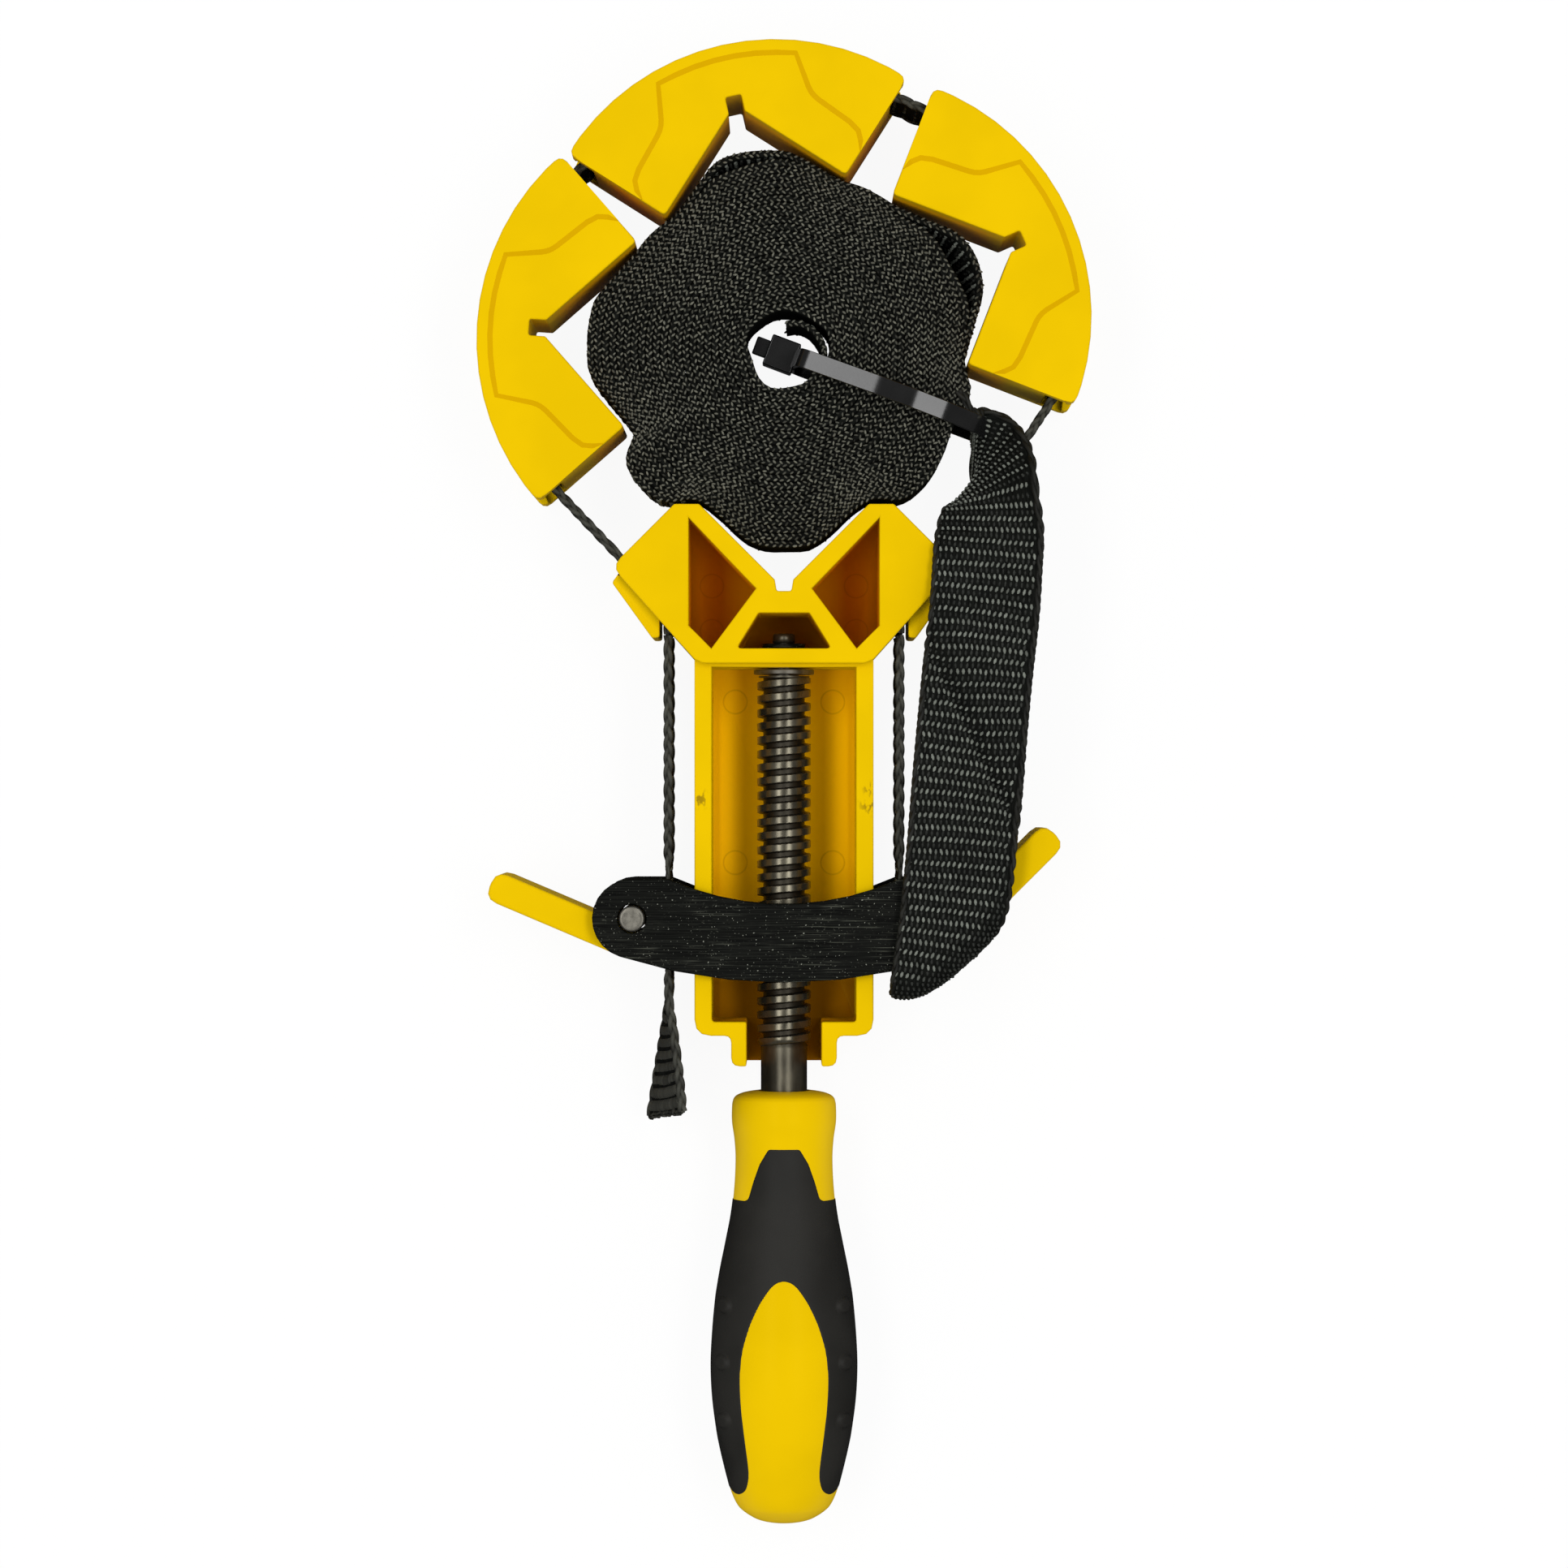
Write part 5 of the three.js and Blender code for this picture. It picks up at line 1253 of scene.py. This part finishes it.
class BANDCLAMP_OT_screw(ClampOperator, bpy.types.Operator):
    """Cuts the screw's thread and makes its washer and retaining ring"""

    bl_idname = "band_clamp.screw"
    bl_label = "Screw"

    thread_start_y = -64.375
    thread_low_y = -61.4
    thread_high_y = 24.6
    segments = 72
    steps_per_turn = 30

    def build(self, settings):
        steel = oily_steel(settings.screw)
        fit(self.spindle(settings.screw, steel), "screw", "oiled_steel", "spindle")
        bare = bare_steel(settings.carriage)
        profile = [(3.8, 25.35), (6.75, 25.3), (7.0, 25.5), (7.0, 26.3), (6.75, 26.5), (3.8, 26.45)]
        washer = skin("washer_disc", about_screw(profile), bare, wrap=True, sharp_deg=35)
        fit(washer, "screw", "plain_steel", "thrust_washer")
        ring = softened("retaining_ring", "ring_clip", 0.14 * MM, black_steel(settings.carriage))
        fit(ring, "screw", "black_steel", "retaining_ring")

    def spindle(self, screw, steel):
        root = (screw.thread_radius - screw.thread_depth) / MM
        crest_radius = screw.thread_radius / MM
        pitch = screw.thread_pitch / MM
        shank = screw.shank_radius / MM
        angle = np.arange(self.segments) * TURN / self.segments
        rows = []

        def plain(radius, y):
            rows.append((np.full(self.segments, radius), y, 0.55))

        for radius, y in [(shank, -108.0), (shank, -80.0), (shank, self.thread_low_y - 0.6)]:
            plain(radius, y)
        for y in np.arange(self.thread_low_y, self.thread_high_y, pitch / self.steps_per_turn):
            share = ((y - self.thread_start_y) / pitch - angle / TURN) % 1
            rise = smooth_step(0.33, 0.42, share) * (1 - smooth_step(0.91, 1.0, share))
            threaded = root + (crest_radius - root) * rise
            fade = smooth_step(self.thread_low_y, self.thread_low_y + pitch * 0.8, y)
            rows.append((shank + (threaded - shank) * fade, y, rise * fade + 0.55 * (1 - fade)))
        stem = [(5.9, 24.6), (5.9, 25.0), (3.5, 25.0), (3.5, 31.3), (2.0, 31.3), (2.0, 32.6)]
        tip = [(2.35, 32.6), (2.6, 32.85), (2.6, 34.2), (2.45, 34.55), (2.1, 34.8)]
        for radius, y in stem + tip:
            plain(radius, y)
        x, z = circle(self.segments)
        rings, crests = [], []
        for radius, y, crest in rows:
            rings.append(np.stack([x * radius, np.full(self.segments, y), MID_Z + z * radius], -1) * MM)
            crests.append(np.broadcast_to(crest, self.segments))
        piece = skin("screw_thread", rings, steel, sharp_deg=50)
        point_attribute(piece.data, "crest", np.concatenate(crests))
        return piece


class BANDCLAMP_OT_handle(ClampOperator, bpy.types.Operator):
    """Turns the handle and lays the soft grip over it"""

    bl_idname = "band_clamp.handle"
    bl_label = "Handle"

    top_y = -71.0
    length = 100.1
    # Rows of radius and distance down from the handle's top, in millimetres
    profile = [
        (6.4, 0.0), (8.2, 0.25), (9.8, 0.62), (11.0, 1.15), (11.6, 1.75), (11.86, 2.4), (12.05, 3.7),
        (12.06, 7.2), (11.52, 11.1), (11.25, 14.8), (11.3, 18.6), (11.52, 22.3), (11.9, 26.1),
        (12.45, 29.8), (13.2, 33.6), (13.95, 37.3), (14.7, 41.0), (15.36, 44.8), (15.9, 48.5),
        (16.57, 56.0), (16.9, 63.5), (16.57, 71.0), (15.63, 78.4), (14.95, 82.1), (14.15, 85.6),
        (13.25, 89.2), (12.2, 93.0), (10.9, 95.8), (9.5, 97.3), (7.3, 98.75), (5.4, 99.5), (2.8, 100.0),
        (0.5, 100.1),
    ]
    # Finger bumps, the grip's upper edge and the bare oval: distance across, then down
    bumps = [(13.5, 48.9), (14.0, 62.0), (13.6, 75.5)]
    grip_top = [(19, 24.8), (8.5, 24.8, 1.2), (7.2, 20.3, 6), (5.8, 16.3, 6), (3.7, 12.75, 1.2)]
    oval = [
        (0.0, 43.1), (1.45, 43.45), (2.65, 44.35), (3.65, 45.6), (4.6, 47.0), (5.5, 48.5), (6.8, 51.2),
        (7.9, 54.0), (9.2, 58.5), (9.75, 62.5), (9.9, 66.0), (9.75, 70.2), (9.3, 75.5), (8.6, 81.0),
        (8.0, 86.0), (8.0, 89.0), (8.7, 91.6), (10.2, 92.9), (11.6, 92.8), (12.8, 91.8), (15.0, 89.4),
        (19.0, 88.4),
    ]
    bore_depth = 9
    grip_span = (12, 94)
    grip_depth = 1.6
    grip_sunk = 0.8

    def build(self, settings):
        rows = smooth_through(self.profile, 8)
        self.radii, self.downs = rows[:, 0], rows[:, 1]
        yellow = moulded_yellow("handle_yellow", settings.mouldings)
        outside = [(r, self.top_y - down) for r, down in rows]
        bore_end = self.top_y - self.bore_depth
        bore = [(5.65, bore_end), (5.65, self.top_y - 0.3), (5.95, self.top_y)]
        core = skin(
            "handle_turning",
            about_screw(bore + outside, 128),
            yellow,
            first=(0, bore_end * MM, MID_Z * MM),
            last=(0, (self.top_y - self.length) * MM, MID_Z * MM),
            sharp_deg=60,
        )
        fit(core, "screw", "yellow_plastic", "handle_core")
        grip = self.grip(settings.handle)
        fit(grip, "screw", "grip_rubber", "handle_grip")

    def radius_at(self, down):
        return np.interp(down, self.downs, self.radii)

    def inside_grip(self, x, down):
        """Signed distance into the grip's front outline, in millimetres."""
        other_side = [(-across, *rest) for across, *rest in self.grip_top[::-1]]
        top = rounded([(19, 98.0), *self.grip_top, *other_side, (-19, 98.0)])
        oval = smooth_through([*[(-a, b) for a, b in self.oval[:0:-1]], *self.oval], 6)
        oval = np.vstack([oval, [(19, 99.0), (-19, 99.0)]])
        return np.minimum(outline_distance(top, x, down), -outline_distance(oval, x, down))

    def grip(self, handle):
        """A shell that rises out of the handle inside the grip's outline and sinks into it elsewhere."""
        segments, rows, inner_rows = 288, 300, 12
        start, end = self.grip_span
        down = np.linspace(start, end, rows)[:, None]
        x, z = circle(segments)
        body = self.radius_at(down)
        front = body * x
        reach = self.inside_grip(front, np.broadcast_to(down, front.shape))
        lift = smooth_step(-0.45, 0.4, reach)
        radius = body - self.grip_sunk + (self.grip_sunk + handle.grip_rise / MM) * lift
        for bump_x, bump_down in self.bumps:
            away = ((np.abs(front) - bump_x) / 1.7) ** 2 + ((down - bump_down) / 2.1) ** 2
            dome = 1 - smooth_step(0.3, 1.0, away)
            radius = radius + handle.bump_height / MM * dome * lift
        back = np.linspace(end, start, inner_rows)[:, None]
        inner = np.broadcast_to(self.radius_at(back) - self.grip_depth, (inner_rows, segments))
        radius = np.concatenate([radius, inner])
        y = np.broadcast_to(self.top_y - np.concatenate([down, back]), radius.shape)
        rings = np.stack([x * radius, y, MID_Z + z * radius], -1) * MM
        return skin("grip_shell", rings, soft_rubber(handle), wrap=True, sharp_deg=75)


def outline_distance(outline, x, y):
    """Signed distance of points to a closed outline, positive inside."""
    nearest = np.full(x.shape, np.inf)
    inside = np.zeros(x.shape, bool)
    for (ax, ay), (bx, by) in zip(outline, np.roll(outline, -1, axis=0)):
        dx, dy = bx - ax, by - ay
        share = np.clip(((x - ax) * dx + (y - ay) * dy) / (dx * dx + dy * dy + 1e-12), 0, 1)
        nearest = np.minimum(nearest, np.hypot(x - ax - share * dx, y - ay - share * dy))
        crosses = (ay > y) != (by > y)
        if dy:
            inside ^= crosses & (x < ax + dx * (y - ay) / dy)
    return np.where(inside, nearest, -nearest)


class BANDCLAMP_OT_carriage(ClampOperator, bpy.types.Operator):
    """Finishes the carriage: plates, bars and pivot pins"""

    bl_idname = "band_clamp.carriage"
    bl_label = "Carriage"

    pin_x = 34.8
    pin_y = -30.8

    def build(self, settings):
        carriage = settings.carriage
        black = black_steel(carriage)
        for node in ("front_plate", "rear_plate", "left_anvil", "right_anvil"):
            plate = softened(node, f"{node}_steel", carriage.plate_edge, black)
            fit(plate, "carriage", "black_steel", node)
        steel = oily_steel(settings.screw)
        bar = softened("nut_bar", "nut_bar_steel", carriage.plate_edge, steel)
        point_attribute(bar.data, "crest", np.full(len(bar.data.vertices), 0.7))
        fit(bar, "carriage", "oiled_steel", "nut_bar")
        bare = bare_steel(carriage)
        profile = [
            (2.2, 0.2), (2.7, 0.25), (3.0, 0.6), (3.0, 33.3), (2.86, 33.62), (2.6, 33.8), (1.9, 33.72),
            (1.0, 33.66),
        ]
        for side, x in (("left", -self.pin_x), ("right", self.pin_x)):
            rings = about_post(profile, (x, self.pin_y))
            top = (x * MM, self.pin_y * MM, 33.65 * MM)
            pin = skin(f"{side}_pin_steel", rings, bare, last=top)
            fit(pin, "carriage", "plain_steel", f"{side}_pin")


class BANDCLAMP_OT_band(ClampOperator, bpy.types.Operator):
    """Weaves the band: the loop round the jaws, its two ends and the loose tail"""

    bl_idname = "band_clamp.band"
    bl_label = "Band"

    step = 0.66 * MM
    bend_end_y = -42.0
    pressed_from = 52 * MM
    lip = 4.2 * MM

    def build(self, settings):
        webbing = settings.webbing
        self.cloth = ground_weave(webbing)
        self.pale = twisted_yarn("pale_yarn", tuple(webbing.yarn))
        self.edge = twisted_yarn("edge_yarn", tuple(webbing.braid))
        self.random = np.random.default_rng(7)
        self.loop(webbing)
        self.left_side(webbing)
        self.right_side(webbing)
        self.tail(webbing)

    def weave(self, name, strip, spans, webbing, columns, pressed=(1.0, 1.0), bare_from=1.0):
        """The ground, face yarns and edge plaits of one length of band."""
        loose = strip.shape is not None
        sunk, margin, tone = (0.0, 0.7 * MM, 0.12) if loose else (0.3 * MM, 1.3 * MM, 0.44)
        width = webbing.width - 1.0 * MM
        bare = smooth_step(bare_from - 2 * MM, bare_from + 2 * MM, strip.s)
        rib = (0.08 + 0.2 * bare) * MM
        ground = ribbon(name, strip, width, webbing.thickness, webbing.row_pitch, self.cloth, columns, rib)
        rows = Spots()
        for low, high in spans:
            span = (low, min(high, bare_from))
            for side in (-1, 1):
                face_yarns(rows, strip, side, span, webbing, self.random, sunk, margin)
        yarns = raised(f"{name}_yarns", rows, webbing, self.pale)
        edges = plait(f"{name}_edges", strip, spans, webbing, self.edge, self.random, tone, pressed)
        return ground, yarns, edges

    def declare(self, pieces, strip, webbing, held, *nodes):
        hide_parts(*nodes)

    def bend(self, pieces, start, end):
        for piece in pieces:
            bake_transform(piece)

    def loop(self, webbing):
        strip = upright(loop_route(), self.step)
        covered = jaw_cover(strip.middle)
        spans = open_spans(strip, covered)
        pieces = self.weave("band_round_jaws", strip, spans, webbing, 12)
        rows = Spots()
        for span in open_spans(strip, ~covered):
            face_yarns(rows, strip, -1, span, webbing, self.random, 0.3 * MM, self.lip)
        outer = raised("band_round_jaws_outer_yarns", rows, webbing, self.pale)
        pieces += (outer,)
        for piece in pieces:
            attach(piece, "frame")
        self.declare(pieces, strip, webbing, "stretched", "band_loop")

    def left_side(self, webbing):
        hold = [(-RUN_X, y, MID_Z, 0.0, 0.0, 1.0) for y in np.linspace(RUN_TOP_Y, HOLD_END_Y + 1, 60)]
        knots = np.vstack([hold, smooth_through(LEFT_END_KNOTS, 12)])
        strip = Strip(knots[:, :3], knots[:, 3:], self.step)
        bare_from = (RUN_TOP_Y - HOLD_END_Y) * MM
        pressed = (self.pressed_from, bare_from)
        pieces = self.weave("band_left_side", strip, [(0, strip.length)], webbing, 18, pressed, bare_from)
        pieces += (self.ribs(strip, bare_from, webbing), self.melted_end(strip, webbing))
        self.bend(pieces, (-RUN_X, RUN_TOP_Y, MID_Z), (-RUN_X, self.bend_end_y, MID_Z))
        self.declare(pieces, strip, webbing, "stretched", "band_left_run", "band_left_end")

    def ribs(self, strip, start, webbing):
        """Full flat ribs across the free end, each of many fine threads."""
        runs, shades = [], []
        w = np.linspace(-0.5, 0.5, 64) * (webbing.width - 2.4 * MM)
        pitch = webbing.row_pitch * 1.08
        for s in np.arange(start + 2 * MM, strip.length - 1 * MM, pitch):
            bow = 0.4 * MM * (1 - (2 * w / webbing.width) ** 2)
            point, _, _, out = strip.frames(s + bow + self.random.normal(0, 0.04, len(w)) * MM, w)
            rings = tube(point, out, pitch / 2, 20)
            lift = ((rings - point[:, None]) * out[:, None]).sum(-1, keepdims=True)
            runs.append(rings - 0.28 * lift * out[:, None])
            shades.append(self.random.normal(0.62, 0.2, len(w)))
        ribs = tubes("band_left_side_ribs", runs, shades, self.edge)
        return ribs

    def melted_end(self, strip, webbing):
        """A lumpy bead across the cut end, where the yarns are melted together."""
        w = np.linspace(-0.5, 0.5, 60) * (webbing.width - 1.0 * MM)
        s = strip.length - np.abs(self.random.normal(0.3, 0.25, len(w))) * MM
        point, _, _, out = strip.frames(s, w)
        rings = tube(point, out, self.random.normal(0.66, 0.1, len(w)) * MM)
        bead = tubes("band_left_side_end", [rings], [self.random.normal(0.4, 0.2, len(w))], self.edge)
        return bead

    def right_side(self, webbing):
        strip = upright([(RUN_X, RUN_TOP_Y), (RUN_X, HOLD_END_Y)], self.step)
        pressed = (self.pressed_from, 1.0)
        pieces = self.weave("band_right_side", strip, [(0, strip.length)], webbing, 18, pressed)
        self.bend(pieces, (RUN_X, RUN_TOP_Y, MID_Z), (RUN_X, self.bend_end_y, MID_Z))
        self.declare(pieces, strip, webbing, "stretched", "band_right_run", "band_right_end")

    def tail(self, webbing):
        knots = smooth_through(TAIL_KNOTS, 24)
        strip = Strip(knots[:, :3], knots[:, 3:], 0.55 * MM, folded_tail)
        pressed = (-10 * MM, 12 * MM)
        pieces = self.weave("band_tail_cloth", strip, [(0, strip.length)], webbing, 30, pressed)
        self.bend(pieces, (45, 74, 33), (40, -30, 36))
        self.declare(pieces, strip, webbing, "laid", "band_tail")


def windowed(rule, ring, half):
    """A rule, such as the least, over the neighbours of each number in a closed ring."""
    return rule([np.roll(ring, k) for k in range(-half, half + 1)], axis=0)


class BANDCLAMP_OT_roll(ClampOperator, bpy.types.Operator):
    """Rolls up the spare band, with two rows of stitches along its edges"""

    bl_idname = "band_clamp.roll"
    bl_label = "Rolled band"

    centre = np.array([0.5, 99.7])
    hole_radius = 9.0
    outer_radius = 46.0
    low_z = 1.8
    end_angle = math.radians(-19)
    steps = 96
    # Where the outer turn stands off: heading in degrees, share of the gap, spread in radians
    loose_places = [(28, 1.0, 0.36), (109, 0.55, 0.27)]
    curl_steps = 24
    curl_angle = math.radians(108)
    curl_depth = 2.9
    loose_pull = 2.6
    loose_bulge = 2.4
    # Outlines to keep clear of: the nose, a jaw about its own corner and the line of the tie
    nose = [
        (-39.4, 49.7), (-25.1, 64.0), (-19.4, 64.0), (0.0, 44.6), (19.4, 64.0), (25.1, 64.0), (39.4, 49.7),
    ]
    jaw = [(2.7, -39.7), (21.2, -21.2), (0.0, 0.0), (21.2, 21.2), (2.7, 39.7)]
    tied = [(45.9, 96.5), (37.1, 71.1)]
    touch = 1.15
    stitch_height = 0.6 * MM

    def limit(self, angles, widest):
        """The roll's largest radius in each direction, clear of the nose, the tie and the sliding jaws."""
        outlines = [np.array(self.nose) - self.centre, np.array(self.tied) - self.centre]
        for place, (x, y, inward) in JAW_PLACES.items():
            hinge = jaw_arc(place)[0]
            for slide in JAW_SLIDES[place]:
                corner = hinge + turned([[x, y] - hinge], slide)[0]
                outlines.append(turned(self.jaw, inward + slide) + corner - self.centre)
        ray = np.radians(np.arange(0, 360, 0.5))
        way = np.stack([np.cos(ray), np.sin(ray)], -1)
        reach = np.full(len(ray), widest)
        for outline in outlines:
            for a, b in zip(outline, outline[1:]):
                side = b - a
                cross = way[:, 0] * side[1] - way[:, 1] * side[0]
                cross = np.where(np.abs(cross) < 1e-9, 1e-9, cross)
                far = (a[0] * side[1] - a[1] * side[0]) / cross
                share = (a[0] * way[:, 1] - a[1] * way[:, 0]) / cross
                met = (far > 0) & (share >= 0) & (share <= 1)
                reach = np.where(met, np.minimum(reach, far - self.touch), reach)
        least = windowed(np.min, reach, 18)
        without_bumps = windowed(np.max, least, 15)
        smooth = windowed(np.mean, without_bumps, 5)
        return np.interp(angles % TURN, ray, smooth, period=TURN)

    def route(self, turns, width):
        """Centres of the rolled band, its upward edge and the room from one turn to the next."""
        total = turns * self.steps
        share = np.arange(total + 1) / total
        angle = self.end_angle + (total - np.arange(total + 1)) / self.steps * TURN
        dent = self.outer_radius - self.limit(angle, self.outer_radius)
        radius = self.hole_radius + (self.outer_radius - self.hole_radius) * share - dent * share**2.4
        radius += (0.45 * np.sin(3 * angle + 0.6) + 0.35 * np.sin(5 * angle)) * (1 - share) ** 6
        loose = np.zeros(total + 1)
        for place, share_of_gap, spread in self.loose_places:
            off = np.angle(np.exp(1j * (angle - math.radians(place))))
            loose += share_of_gap * np.exp(-((off / spread) ** 2))
        last = smooth_step(1 - 1.12 / turns, 1 - 0.92 / turns, share)
        radius -= self.loose_pull * loose * share**2
        out = last * loose * (self.limit(angle, self.outer_radius + self.loose_bulge) - radius)
        radius += out / 2
        lean = out / width
        room = radius[self.steps:] - radius[: -self.steps]
        room = np.concatenate([room, np.full(self.steps, 1.6)])
        curl = np.linspace(1.0, 0, self.curl_steps, endpoint=False)
        angle = np.concatenate([angle[0] + curl * self.curl_angle, angle])
        radius = np.concatenate([self.hole_radius - self.curl_depth * curl**1.3, radius])
        room = np.concatenate([np.full(len(curl), 1.4), room])
        lean = np.concatenate([np.zeros(len(curl)), lean])
        away = np.stack([np.cos(angle), np.sin(angle)], -1)
        across = np.column_stack([away * lean[:, None], np.ones(len(angle))])
        return self.centre + radius[:, None] * away, across, np.clip(room, 1.1, 1.9)

    def build(self, settings):
        webbing, roll = settings.webbing, settings.roll
        random = np.random.default_rng(19)
        mid_z = self.low_z + webbing.width / MM / 2
        path, across, room = self.route(roll.turns, webbing.width / MM)
        centres = np.column_stack([path, np.full(len(path), mid_z)])
        strip = Strip(centres, across, 2.0 * MM)
        room = np.interp(strip.s / MM, run_along(path), room) * MM
        cloth = ground_weave(webbing)
        ground = ribbon("rolled_band", strip, webbing.width - 1.2 * MM, room, webbing.row_pitch, cloth, 4)
        yarn = twisted_yarn("stitch_yarn", tuple(roll.stitch_colour))
        trimmings = []
        for edge, name in ((1, "top"), (-1, "bottom")):
            spots = self.stitches(strip, room, edge, webbing, roll, random)
            sizes = (roll.stitch_width, roll.stitch_length, self.stitch_height)
            trimmings.append(strewn(f"rolled_band_{name}_stitches", sizes, spots, yarn))
        pale = twisted_yarn("roll_yarn", tuple(webbing.yarn))
        for name, side, span in (
            ("outer", 1, (strip.length - 0.29, strip.length)),
            ("loose", -1, (strip.length - 0.2, strip.length)),
            ("inner", -1, (0.0, 0.06)),
        ):
            rows = Spots()
            face_yarns(rows, strip, side, span, webbing, random)
            trimmings.append(raised(f"rolled_band_{name}_yarns", rows, webbing, pale))
        for piece in (ground, *trimmings):
            fit(piece, "frame", "webbing")
        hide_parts("band_coil")

    def stitches(self, strip, room, edge, webbing, roll, random):
        """Two rows of short slanting yarns along one edge that share out the room of a turn."""
        spots = Spots()
        s = np.arange(0, strip.length, roll.stitch_pitch / 2)
        total = len(s)
        row = np.where(np.arange(total) % 2, 1.0, -1.0)
        s = s + random.normal(0, 0.1, total) * MM
        point, along, across, out = strip.frames(s, np.full(total, edge * (webbing.width / 2 - 0.62 * MM)))
        up = across * edge
        part = np.interp(s, strip.s, room)
        y, x = turned_by(row * random.normal(0.62, 0.16, total), along, out)
        shift = out * (row * part / 4 + random.normal(0, 0.06, total) * MM)[:, None]
        lift = up * random.normal(0, 0.09, (total, 1)) * MM
        size = random.normal(1, 0.08, (total, 3))
        spots.add(point + shift + lift, np.cross(y, up), y, up, size, random.normal(0.55, 0.2, total))
        return spots


# Sides of a block, by the order of its corners
BLOCK_FACES = [(0, 1, 3, 2), (4, 6, 7, 5), (0, 4, 5, 1), (2, 3, 7, 6), (0, 2, 6, 4), (1, 5, 7, 3)]


class BANDCLAMP_OT_tie(ClampOperator, bpy.types.Operator):
    """Bends the cable tie round the roll and makes its head"""

    bl_idname = "band_clamp.tie"
    bl_label = "Cable tie"

    centre = np.array([-0.6, 99.7])
    heading = math.radians(-20.6)
    inner = 3.4
    reach = 51.6

    def place(self, points):
        """From the tie's own plane, along, across and up, to the clamp's frame."""
        points = np.asarray(points, float)
        c, s = math.cos(self.heading), math.sin(self.heading)
        x = self.centre[0] + points[..., 0] * c - points[..., 1] * s
        y = self.centre[1] + points[..., 0] * s + points[..., 1] * c
        return np.stack([x, y, points[..., 2]], -1) * MM

    def build(self, settings):
        tie = settings.tie
        nylon = tie_nylon(tie)
        fit(self.strap(tie, nylon), "frame", "tie_nylon", "cable_tie")
        fit(self.head(nylon), "frame", "tie_nylon", "cable_tie_head")

    def strap(self, tie, nylon):
        path = rounded(
            [
                (self.inner, 12.0), (self.inner, 0.9, 2.2), (self.reach, 0.9, 3.5), (self.reach, 22.4, 3.0),
                (48.0, 26.6, 5.0), (40.0, 29.6, 7.0), (32.5, 30.9, 8.0), (24.0, 30.9, 12.0),
                (4.8, 27.4, 2.6), (self.inner, 16.8),
            ],
            14,
        )
        run = run_along(path)
        path = rows_at(np.linspace(0, run[-1], 260), run, path)
        along = unit(np.gradient(path, axis=0))
        out = np.stack([-along[:, 1], along[:, 0]], -1)
        half_width, half = tie.width / MM / 2, tie.thickness / MM / 2
        edge = 0.12
        section = [
            (-half_width, -half + edge), (-half_width + edge, -half), (half_width - edge, -half),
            (half_width, -half + edge), (half_width, half - edge), (half_width - edge, half),
            (-half_width + edge, half), (-half_width, half - edge),
        ]
        rings = []
        for point, normal in zip(path, out):
            ring = [(point[0] + normal[0] * n, w, point[1] + normal[1] * n) for w, n in section]
            rings.append(self.place(ring))
        return skin("tie_strap", rings, nylon, sharp_deg=30)

    def head(self, nylon):
        """A block with rounded edges and the cut stub of the strap."""
        mesh = bpy.data.meshes.new("tie_head")
        solid = bmesh.new()

        def block(low, high):
            corners = list(itertools.product(*zip(low, high)))
            verts = [solid.verts.new(p) for p in self.place(corners)]
            for face in BLOCK_FACES:
                solid.faces.new([verts[k] for k in face])

        block((-3.4, -3.7, 11.3), (3.6, 3.7, 17.6))
        block((-6.6, -2.15, 14.4), (-3.3, 2.15, 15.6))
        bmesh.ops.recalc_face_normals(solid, faces=solid.faces)
        solid.to_mesh(mesh)
        solid.free()
        mesh.shade_smooth()
        mesh.materials.append(nylon)
        piece = link("tie_head", mesh)
        rounding = piece.modifiers.new("edges", "BEVEL")
        rounding.width = 0.35 * MM
        rounding.segments = 3
        rounding.use_clamp_overlap = True
        piece.modifiers.new("normals", "WEIGHTED_NORMAL")
        return bake(piece)


class BANDCLAMP_PT_panel(bpy.types.Panel):
    """Lists the clamp's operators and settings"""

    bl_idname = "BANDCLAMP_PT_panel"
    bl_label = "Band clamp"
    bl_space_type = "VIEW_3D"
    bl_region_type = "UI"
    bl_category = "Band clamp"

    def draw(self, context):
        settings = context.scene.band_clamp
        for operator in OPERATORS:
            self.layout.operator(operator.bl_idname)
        for group in ClampSettings.__annotations__:
            part = getattr(settings, group)
            box = self.layout.box()
            box.label(text=group.capitalize())
            for name in type(part).__annotations__:
                box.prop(part, name)


GROUPS = (
    ClampMouldings,
    ClampScrew,
    ClampHandle,
    ClampCarriage,
    ClampWebbing,
    ClampRoll,
    ClampTie,
    ClampStage,
    ClampSettings,
)
OPERATORS = (
    BANDCLAMP_OT_stage,
    BANDCLAMP_OT_body,
    BANDCLAMP_OT_jaws,
    BANDCLAMP_OT_levers,
    BANDCLAMP_OT_screw,
    BANDCLAMP_OT_handle,
    BANDCLAMP_OT_carriage,
    BANDCLAMP_OT_band,
    BANDCLAMP_OT_roll,
    BANDCLAMP_OT_tie,
)


def register():
    for part in (*GROUPS, *OPERATORS, BANDCLAMP_PT_panel):
        bpy.utils.register_class(part)
    bpy.types.Scene.band_clamp = PointerProperty(type=ClampSettings)


def unregister():
    del bpy.types.Scene.band_clamp
    for part in reversed((*GROUPS, *OPERATORS, BANDCLAMP_PT_panel)):
        bpy.utils.unregister_class(part)


def main():
    register()
    for operator in OPERATORS:
        group, name = operator.bl_idname.split(".")
        getattr(getattr(bpy.ops, group), name)()


if __name__ == "__main__":
    main()
